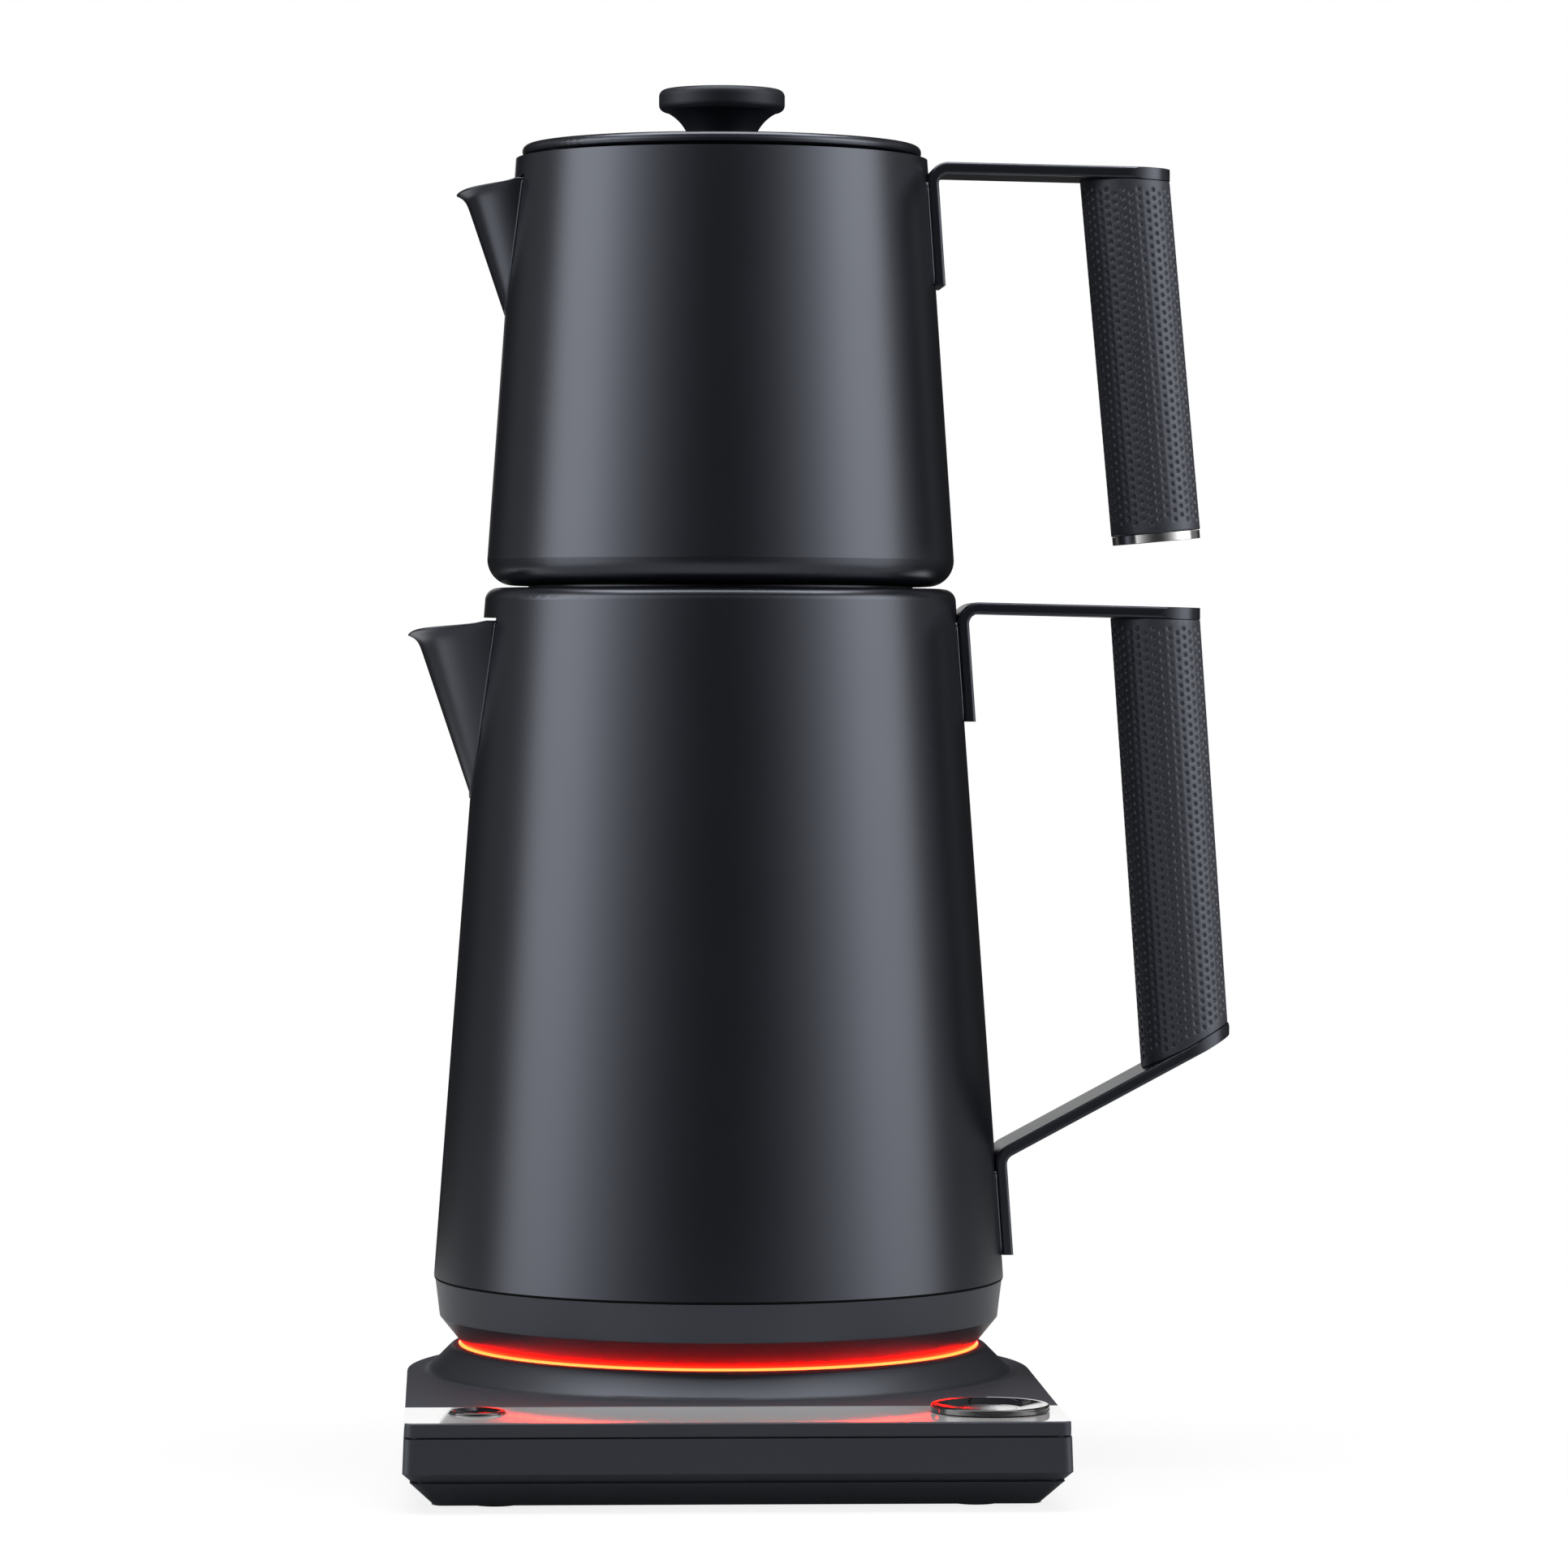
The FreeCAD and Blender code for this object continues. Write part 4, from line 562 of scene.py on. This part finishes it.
class Spout:
    """Sheet-metal spout whose level sections are arcs of circles, in millimetres from the body's axis."""

    def __init__(self, sizes, settings):
        self.sizes = sizes
        self.wall = settings.wall / MM
        self.sink = settings.sink / MM
        self.flare = sizes["flare"]
        self.reach = sizes["reach"]
        reach, self.point = sizes["point"]
        bend, bend_level = sizes["bend"]
        self.lean = (bend - reach) / (bend_level - self.point)
        self.foot = self.point - self.sink / (self.lean + sizes["taper"])

    def body_radius(self, level):
        return self.sizes["wall_radius"] - self.sizes["taper"] * (level - self.sizes["wall_level"])

    def section(self, level, sink):
        """Centre, radius and half angle of the arc outside the body at a level."""
        reach = self.sizes["point"][0]
        front = reach + self.lean * (level - self.point)
        back = reach - self.sizes["depth"] - self.sizes["taper"] * (level - self.point)
        centre = (front + back) / 2
        radius = (front - back) / 2
        wall = self.body_radius(level) - sink
        meet = (wall * wall + centre * centre - radius * radius) / (2 * centre)
        half = math.acos(max(-1.0, min(1.0, (meet - centre) / radius)))
        return centre, radius, half

    def edge_level(self, across):
        """Height of the top edge: falling slowly from the root, then quickly at the tip."""
        root, tip = self.sizes["root"], self.sizes["tip"]
        centre, radius, half = self.section(tip, self.sink)
        wall = self.body_radius(tip)
        along = (centre + radius * math.cos(across * half) - wall) / (centre + radius - wall)
        along = max(0.0, along)
        fall = self.sizes["fall"]
        lift = ROOT_LIFT * math.exp(-along / ROOT_REACH)
        return root + lift - (root - tip) * (fall * along + (1 - fall) * along ** self.sizes["power"])

    def outside(self, across, up):
        """Point of the outer face: across runs from -1 to 1 round the arc, up from 0 to 1."""
        edge = self.edge_level(across)
        level = self.foot + up * (edge - self.foot)
        centre, radius, half = self.section(level, self.sink)
        turn = across * half
        hook = self.flare * math.exp((level - edge) / self.reach) * (1 - across * across) ** 2
        spread = radius + hook
        return Vector((-centre - spread * math.cos(turn), spread * math.sin(turn), level))

    def axes(self, across, up):
        """Point, outward normal and upward direction of the outer face."""
        left = self.outside(max(-1.0, across - PROBE_STEP), up)
        right = self.outside(min(1.0, across + PROBE_STEP), up)
        low = self.outside(across, max(PROBE_FOOT, up - PROBE_STEP))
        high = self.outside(across, max(PROBE_FOOT + PROBE_STEP, min(1.0, up + PROBE_STEP)))
        rise = (high - low).normalized()
        normal = rise.cross(right - left)
        if normal.length < SMALLEST:
            normal = Vector((-1.0, 0.0, 0.0))
        normal.normalize()
        if normal.y * across < normal.x:
            normal.negate()
        return self.outside(across, up), normal, rise

    def profile(self, across):
        """Line up the outer face, over the rounded edge and down the inner face."""
        line = []
        ups = [1 - (1 - row / SPOUT_ROWS) ** ROW_POWER for row in range(SPOUT_ROWS + 1)]
        for up in ups:
            line.append(self.outside(across, up))
        point, normal, rise = self.axes(across, 1.0)
        middle = point - normal * (self.wall / 2)
        for step in range(1, RIM_STEPS):
            turn = math.pi * step / RIM_STEPS
            line.append(middle + (normal * math.cos(turn) + rise * math.sin(turn)) * (self.wall / 2))
        for up in reversed(ups):
            point, normal, _ = self.axes(across, up)
            inner = point - normal * self.wall
            if inner.y * point.y < 0:
                inner.y = 0.0
            line.append(inner)
        return line

    def joint(self):
        """Line where the spout meets the body, from one root down to the point and up again."""
        sides = []
        end = self.edge_level(1.0) - JOINT_DROP
        for row in range(SPOUT_ROWS + 1):
            level = self.point + row / SPOUT_ROWS * (end - self.point)
            centre, radius, half = self.section(level, 0.0)
            sides.append((-centre - radius * math.cos(half), radius * math.sin(half), level))
        left = [Vector((x, -y, z)) for x, y, z in reversed(sides)]
        right = [Vector(point) for point in sides[1:]]
        return left + right


def spout_mesh(name, spout):
    work = bmesh.new()
    columns = []
    for column in range(SPOUT_COLUMNS + 1):
        across = 2 * column / SPOUT_COLUMNS - 1
        columns.append([work.verts.new(point * MM) for point in spout.profile(across)])
    for first, second in zip(columns, columns[1:]):
        for row in range(len(first) - 1):
            work.faces.new((first[row], second[row], second[row + 1], first[row + 1]))
    for side in (columns[0], columns[-1]):
        for row in range(SPOUT_ROWS):
            work.faces.new((side[row], side[row + 1], side[-2 - row], side[-1 - row]))
    return mesh_from(name, work)


BEAD_SIDES = 10
BEAD_LEAN = Vector((-0.9, 0.1, 0.4))
# Near-black bead round the kettle above the collar: painted shade in place of the seam's shadow gap.
SEAM = {"radius": 72.6, "level": 45.5, "bead": 0.36}
SEAM_STEPS = 160
LEGS = {
    "teapot_bracket": ("teapot", 299.2, 325.0),
    "kettle_upper_strip": ("kettle", 188.1, 213.0),
    "kettle_lower_strip": ("kettle", 51.9, 73.0),
}
LEG_HALF = 11.7
LEG_ROWS = 12


def leg_lines(spout, low, high):
    """The two lines where a handle strip's leg meets its body."""
    levels = [low + (high - low) * row / LEG_ROWS for row in range(LEG_ROWS + 1)]
    reaches = [math.sqrt(spout.body_radius(level) ** 2 - LEG_HALF ** 2) for level in levels]
    sides = (-LEG_HALF, LEG_HALF)
    return [[Vector((reach, side, level)) for reach, level in zip(reaches, levels)] for side in sides]


def seam_line(radius, level):
    """Closed line round a body's axis."""
    turns = [2 * math.pi * step / SEAM_STEPS for step in range(SEAM_STEPS)]
    return [Vector((radius * math.cos(turn), radius * math.sin(turn), level)) for turn in turns]


def add_bead(work, line, radius, closed=False):
    """Round bead along a line of points."""
    rings = []
    last = len(line) - 1
    for index, point in enumerate(line):
        ahead = line[(index + 1) % len(line)] if closed else line[min(index + 1, last)]
        behind = line[index - 1] if closed else line[max(index - 1, 0)]
        along = (ahead - behind).normalized()
        side = along.cross(BEAD_LEAN).normalized()
        up = side.cross(along)
        ring = []
        for step in range(BEAD_SIDES):
            turn = 2 * math.pi * step / BEAD_SIDES
            out = side * math.cos(turn) + up * math.sin(turn)
            ring.append(work.verts.new((point + out * radius) * MM))
        rings.append(ring)
    pairs = list(zip(rings, rings[1:]))
    if closed:
        pairs.append((rings[-1], rings[0]))
    for first, second in pairs:
        for step in range(BEAD_SIDES):
            after = (step + 1) % BEAD_SIDES
            work.faces.new((first[step], first[after], second[after], second[step]))
    if not closed:
        work.faces.new(rings[0])
        work.faces.new(rings[-1])


def bead_mesh(name, lines, radius, closed=False):
    """Beads along several lines."""
    work = bmesh.new()
    for line in lines:
        add_bead(work, line, radius, closed)
    return mesh_from(name, work)


# The ends of each grip's axis, and the planes that cut it, each by a point and a direction outward.
GRIPS = {
    "teapot": {
        "top": (103.4, 327.6), "end": (112.1, 234.0),
        "top_face": ((103.4, 326.5), (0.0177, 1.0)), "end_face": ((112.1, 236.2), (0.0929, -1.0)),
    },
    "kettle": {
        "top": (111.75, 215.6), "end": (120.0, 102.6),
        "top_face": ((111.75, 214.3), (0.0207, 1.0)), "end_face": ((120.0, 104.77), (0.538, -1.0)),
    },
}
GRIP_RADIUS = 11.5
GRIP_BELOW = 12.0
GRIP_ABOVE = 6.0
CUT_DISTANCE = 0.001 * MM
RIM_DISTANCE = 0.01 * MM

# Steps of the rounded edge at an end: shares of its size outward along the grip and towards its axis.
EDGE_STEPS = ((0.7, 0.3), (0.3, 0.7))

# Rings of a dimple: shares of its radius and of its depth.
DIMPLE_RINGS = ((1.2, 0.0), (0.98, 0.14), (0.52, 0.74))

# Corners of a cell in half columns and half rows, and the angles of a ring's points in the same order.
CELL_CORNERS = ((0, 0), (1, 0), (2, 0), (2, 1), (2, 2), (1, 2), (0, 2), (0, 1))
CELL_TURNS = (225, 270, 315, 0, 45, 90, 135, 180)


class Grip:
    """Rubber sleeve on a leaning axis, covered with rows of dimples, in millimetres."""

    def __init__(self, sizes, settings):
        self.sizes = sizes
        self.columns = settings.columns
        self.pitch = settings.pitch / MM
        self.radius = settings.dimple_radius / MM
        self.depth = settings.dimple_depth / MM
        self.plain = settings.plain_end / MM
        self.edge = settings.edge / MM
        self.planes = [self.plane("top_face"), self.plane("end_face")]
        self.work = bmesh.new()
        self.shared = {}

    def plane(self, name):
        (x, z), (across, up) = self.sizes[name]
        return Vector((x, 0.0, z)), Vector((across, 0.0, up)).normalized()

    def centre(self, level):
        (top_x, top_z), (end_x, end_z) = self.sizes["top"], self.sizes["end"]
        return top_x + (end_x - top_x) * (level - top_z) / (end_z - top_z)

    def spot(self, turn, level, depth=0.0):
        radius = GRIP_RADIUS - depth
        return Vector((self.centre(level) + radius * math.cos(turn), radius * math.sin(turn), level))

    def room(self, point):
        """Distance from a point to the nearer end, positive inside the grip."""
        return min((base - point).dot(normal) for base, normal in self.planes)

    def corner(self, column, row):
        """Point that neighbouring cells share, on a lattice of half columns and half rows."""
        key = (column % (2 * self.columns), row)
        if key not in self.shared:
            turn = math.pi * key[0] / self.columns
            self.shared[key] = self.work.verts.new(self.spot(turn, row * self.pitch / 2) * MM)
        return self.shared[key]

    def cell(self, column, row):
        """One cell with its dimple, or flat near the ends."""
        turn = math.pi * (2 * column + 1) / self.columns
        level = (row + 1) * self.pitch / 2
        room = self.room(self.spot(turn, level))
        if room < -self.pitch:
            return
        depth = self.depth if room > self.plain else 0.0
        outer = [self.corner(2 * column + across, row + up) for across, up in CELL_CORNERS]
        rings = [outer]
        for size, sunk in DIMPLE_RINGS:
            ring = []
            for angle in CELL_TURNS:
                across = size * self.radius * math.cos(math.radians(angle))
                up = size * self.radius * math.sin(math.radians(angle))
                point = self.spot(turn + across / GRIP_RADIUS, level + up, sunk * depth)
                ring.append(self.work.verts.new(point * MM))
            rings.append(ring)
        middle = self.work.verts.new(self.spot(turn, level, depth) * MM)
        for outside, inside in zip(rings, rings[1:]):
            for side in range(len(CELL_TURNS)):
                after = (side + 1) % len(CELL_TURNS)
                self.work.faces.new((outside[side], outside[after], inside[after], inside[side]))
        for side in range(len(CELL_TURNS)):
            after = (side + 1) % len(CELL_TURNS)
            self.work.faces.new((rings[-1][side], rings[-1][after], middle))

    def close_end(self, base, normal):
        """Cut an end off along its plane, round its edge and close it."""
        cut = (base - normal * self.edge) * MM
        geometry = self.work.verts[:] + self.work.edges[:] + self.work.faces[:]
        bmesh.ops.bisect_plane(
            self.work, geom=geometry, plane_co=cut, plane_no=normal, clear_outer=True, dist=CUT_DISTANCE
        )
        rim = [edge for edge in self.work.edges if edge.is_boundary and all(
            abs((vert.co - cut).dot(normal)) < RIM_DISTANCE for vert in edge.verts
        )]
        for out, inward in EDGE_STEPS:
            made = bmesh.ops.extrude_edge_only(self.work, edges=rim)["geom"]
            for vert in made:
                if isinstance(vert, bmesh.types.BMVert):
                    level = vert.co.z / MM
                    axis = Vector((self.centre(level), 0.0, level)) * MM
                    toward = (axis - vert.co).normalized()
                    vert.co += (normal * out + toward * inward) * self.edge * MM
            rim = [edge for edge in made if isinstance(edge, bmesh.types.BMEdge)]
        bmesh.ops.contextual_create(self.work, geom=rim)

    def mesh(self, name):
        """Cover the grip and a little more with cells, then cut both ends."""
        first = math.ceil((self.sizes["end"][1] - GRIP_BELOW) / self.pitch)
        last = math.floor((self.sizes["top"][1] + GRIP_ABOVE) / self.pitch)
        for row in range(first, last + 1):
            for column in range(self.columns):
                self.cell(column, 2 * row + column % 2)
        for base, normal in self.planes:
            self.close_end(base, normal)
        return mesh_from(name, self.work)


class TEAMAKER_OT_finishes(bpy.types.Operator):
    """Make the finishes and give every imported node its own"""

    bl_idname = "teamaker.finishes"
    bl_label = "Finishes"

    def execute(self, context):
        FINISHES.update(make_finishes(context.scene.tea_finishes))
        for part in frame["record"]["subparts"]:
            materials = frame["nodes"][part["node"]].data.materials
            materials.clear()
            materials.append(FINISHES[NODE_FINISHES.get(part["node"], part["material_slot"])])
        return {"FINISHED"}


class TEAMAKER_OT_spouts(bpy.types.Operator):
    """Make the two pouring spouts"""

    bl_idname = "teamaker.spouts"
    bl_label = "Spouts"

    def execute(self, context):
        for body, sizes in SPOUTS.items():
            name = f"{body}_spout_sheet"
            mesh = spout_mesh(name, Spout(sizes, context.scene.tea_spouts))
            add_piece(name, mesh, body, "black_paint", f"{body}_spout")
        return {"FINISHED"}


class TEAMAKER_OT_beads(bpy.types.Operator):
    """Lay the weld beads along the spouts and handle strips, and a near-black bead above the collar as
    painted shade in the seam's gap
    """

    bl_idname = "teamaker.beads"
    bl_label = "Beads"

    def execute(self, context):
        settings = context.scene.tea_spouts
        spouts = {body: Spout(sizes, settings) for body, sizes in SPOUTS.items()}
        welds = {f"{body}_spout_bead": (body, [spout.joint()]) for body, spout in spouts.items()}
        for strip, (body, low, high) in LEGS.items():
            welds[f"{strip}_bead"] = (body, leg_lines(spouts[body], low, high))
        for name, (body, lines) in welds.items():
            add_piece(name, bead_mesh(name, lines, settings.bead / MM), body, "black_paint")
        # Near-black bead at the seam above the collar: painted shade where the gap between body and collar
        # lies in shadow.
        name = "kettle_seam_shadow_bead"
        seam_shadow = bead_mesh(name, [seam_line(SEAM["radius"], SEAM["level"])], SEAM["bead"], True)
        add_piece(name, seam_shadow, "kettle", "foot_rubber", finish="seam_shadow_black")
        return {"FINISHED"}


class TEAMAKER_OT_grips(bpy.types.Operator):
    """Make the dimpled rubber sleeves of the two grips"""

    bl_idname = "teamaker.grips"
    bl_label = "Grips"

    def execute(self, context):
        for body, sizes in GRIPS.items():
            name = f"{body}_grip_sleeve"
            grip = Grip(sizes, context.scene.tea_grips)
            add_piece(name, grip.mesh(name), body, "grip_rubber", f"{body}_grip")
        return {"FINISHED"}


# The floor's half width, and the distances over which it turns plain white round the object and behind it.
FLOOR_HALF = 0.5
FLOOR_FADE = (0.12, 0.45)
FLOOR_REAR = (0.1, 0.3)
FLOOR_SPECK = 40 * MM
FLOOR_NEAR = 0.84
FLOOR_TONE = (0.99, 1.01)
FLOOR_CELLS = 8

SENSOR_WIDTH = 36.0
TOP_LAMP = {"at": Vector((0.0, 0.04, 1.6)), "width": 2.0, "depth": 0.9}

# Where the side lights and the white backdrop fade in or out, as parts of a direction of length 1.
SIDE_FADE = (1.04, 0.36, 1.6)
SIDE_EDGE = (-0.27, 0.01)
SIDE_TAIL = (-0.85, -0.6, 0.0, 0.06)
SIDE_RISE = (-0.35, 0.35)
SIDE_TOP = (0.4, 0.7)
SIDE_LEAN = 0.04
SIDE_LOW = 0.4
SIDE_FOOT = (-0.7, -0.35)
BACKDROP_SIDES = (0.1, 0.2)
BACKDROP_REAR = (0.0, 0.5)
BACKDROP_FOOT = (0.0, 0.05)
BACKDROP_TOP = (0.16, 0.26)


def add_camera(settings):
    lens = bpy.data.cameras.new("camera")
    lens.lens = settings.lens
    lens.sensor_width = SENSOR_WIDTH
    camera = bpy.data.objects.new("camera", lens)
    camera.location = settings.eye
    sight = (Vector(settings.target) - camera.location).to_track_quat("-Z", "Y")
    camera.rotation_euler = (sight.to_matrix() @ Matrix.Rotation(settings.roll, 3, "Z")).to_euler()
    bpy.context.scene.collection.objects.link(camera)
    bpy.context.scene.camera = camera


def add_lamp(settings):
    light = bpy.data.lights.new("top_lamp", "AREA")
    light.shape = "RECTANGLE"
    light.size = TOP_LAMP["width"]
    light.size_y = TOP_LAMP["depth"]
    light.energy = settings.top_power
    lamp = bpy.data.objects.new("top_lamp", light)
    lamp.location = TOP_LAMP["at"]
    bpy.context.scene.collection.objects.link(lamp)


def side_lights(tree, way):
    """Strength of the tall soft lights at both sides, which fade towards the front."""
    up = tree.part(way, "Z")
    front = 0 - tree.part(way, "Y") - tree.part(way, "X") * SIDE_LEAN
    near, far, power = SIDE_FADE
    fade = tree.node("ShaderNodeMapRange", {}, {"Value": front, "From Min": near, "From Max": far})
    fade = tree.node("ShaderNodeMath", {"operation": "POWER"}, {0: fade, 1: power})
    rear = tree.larger(tree.ramp(front, *SIDE_EDGE), tree.ramp(front, *SIDE_TAIL))
    height = tree.larger(tree.ramp(up, *SIDE_RISE), tree.ramp(up, *SIDE_FOOT, 0.0, SIDE_LOW))
    return fade * rear * height * tree.ramp(up, *SIDE_TOP, 1.0, 0.0)


def backdrop_mask(tree, way):
    """Mask of the low band straight behind the object."""
    up = tree.part(way, "Z")
    across = tree.node("ShaderNodeMath", {"operation": "ABSOLUTE"}, {0: tree.part(way, "X")})
    band = tree.ramp(across, *BACKDROP_SIDES, 1.0, 0.0) * tree.ramp(tree.part(way, "Y"), *BACKDROP_REAR)
    return band * tree.ramp(up, *BACKDROP_FOOT) * tree.ramp(up, *BACKDROP_TOP, 1.0, 0.0)


def add_world(settings):
    """Soft lights at both sides, and white behind the object."""
    world = bpy.data.worlds.new("studio")
    bpy.context.scene.world = world
    tree = Tree(world)
    way = tree.node("ShaderNodeTexCoord", output="Generated")
    soft = settings.ambient + settings.side_light * side_lights(tree, way)
    camera_ray, mirror_ray = tree.rays()
    white = tree.larger(camera_ray, mirror_ray * backdrop_mask(tree, way))
    level = soft * (1 - white) + white
    backdrop = tree.node("ShaderNodeBackground", {}, {"Color": WHITE, "Strength": level})
    tree.node("ShaderNodeOutputWorld", {}, {"Surface": backdrop})


def add_floor(settings):
    """Pale table top that is white to the camera and keeps the object's shadow near by."""
    work = bmesh.new()
    bmesh.ops.create_grid(work, x_segments=FLOOR_CELLS, y_segments=FLOOR_CELLS, size=FLOOR_HALF)
    mesh = bpy.data.meshes.new("floor")
    work.to_mesh(mesh)
    work.free()
    floor = bpy.data.objects.new("floor", mesh)
    bpy.context.scene.collection.objects.link(floor)
    material, tree = fresh_material("pale_floor")
    place = tree.place()
    distance = tree.node("ShaderNodeVectorMath", {"operation": "LENGTH"}, {0: place}, "Value")
    camera_ray, mirror_ray = tree.rays()
    seen = camera_ray * tree.ramp(distance, *FLOOR_FADE, FLOOR_NEAR, 1.0)
    seen = seen + mirror_ray * tree.ramp(tree.part(place, "Y"), *FLOOR_REAR)
    tint = tree.vary(tree.grain(FLOOR_SPECK), settings.floor, FLOOR_TONE)
    matte = tree.node("ShaderNodeBsdfDiffuse", {}, {"Color": tree.blend(camera_ray, tint, WHITE)})
    bright = tree.node("ShaderNodeEmission", {}, {"Color": WHITE, "Strength": 1.0})
    mixed = tree.node("ShaderNodeMixShader", {}, {0: seen, 1: matte, 2: bright})
    tree.node("ShaderNodeOutputMaterial", {}, {"Surface": mixed})
    mesh.materials.append(material)


class TEAMAKER_OT_studio(bpy.types.Operator):
    """Set up the camera, lamps, backdrop and floor"""

    bl_idname = "teamaker.studio"
    bl_label = "Studio"

    def execute(self, context):
        settings = context.scene.tea_studio
        context.scene.view_settings.view_transform = "Standard"
        add_camera(settings)
        add_lamp(settings)
        add_world(settings)
        add_floor(settings)
        return {"FINISHED"}


GROUPS = {
    "tea_finishes": TeaFinishes,
    "tea_spouts": TeaSpouts,
    "tea_grips": TeaGrips,
    "tea_studio": TeaStudio,
}
OPERATORS = (
    TEAMAKER_OT_studio, TEAMAKER_OT_finishes, TEAMAKER_OT_spouts, TEAMAKER_OT_beads, TEAMAKER_OT_grips,
)


class VIEW3D_PT_tea_maker(bpy.types.Panel):
    """Lists the tea maker's sizes and the steps that make it"""

    bl_label = "Tea Maker"
    bl_idname = "VIEW3D_PT_tea_maker"
    bl_space_type = "VIEW_3D"
    bl_region_type = "UI"
    bl_category = "Tea Maker"

    def draw(self, context):
        for name, group in GROUPS.items():
            column = self.layout.column(align=True)
            settings = getattr(context.scene, name)
            for key in group.__annotations__:
                column.prop(settings, key)
        for operator in OPERATORS:
            self.layout.operator(operator.bl_idname)


CLASSES = (*GROUPS.values(), *OPERATORS, VIEW3D_PT_tea_maker)


def register():
    for made in CLASSES:
        bpy.utils.register_class(made)
    for name, group in GROUPS.items():
        setattr(bpy.types.Scene, name, bpy.props.PointerProperty(type=group))


def unregister():
    for name in GROUPS:
        delattr(bpy.types.Scene, name)
    for made in reversed(CLASSES):
        bpy.utils.unregister_class(made)


def main():
    register()
    bpy.ops.teamaker.studio()
    bpy.ops.teamaker.finishes()
    bpy.ops.teamaker.spouts()
    bpy.ops.teamaker.beads()
    bpy.ops.teamaker.grips()


if __name__ == "__main__":
    main()
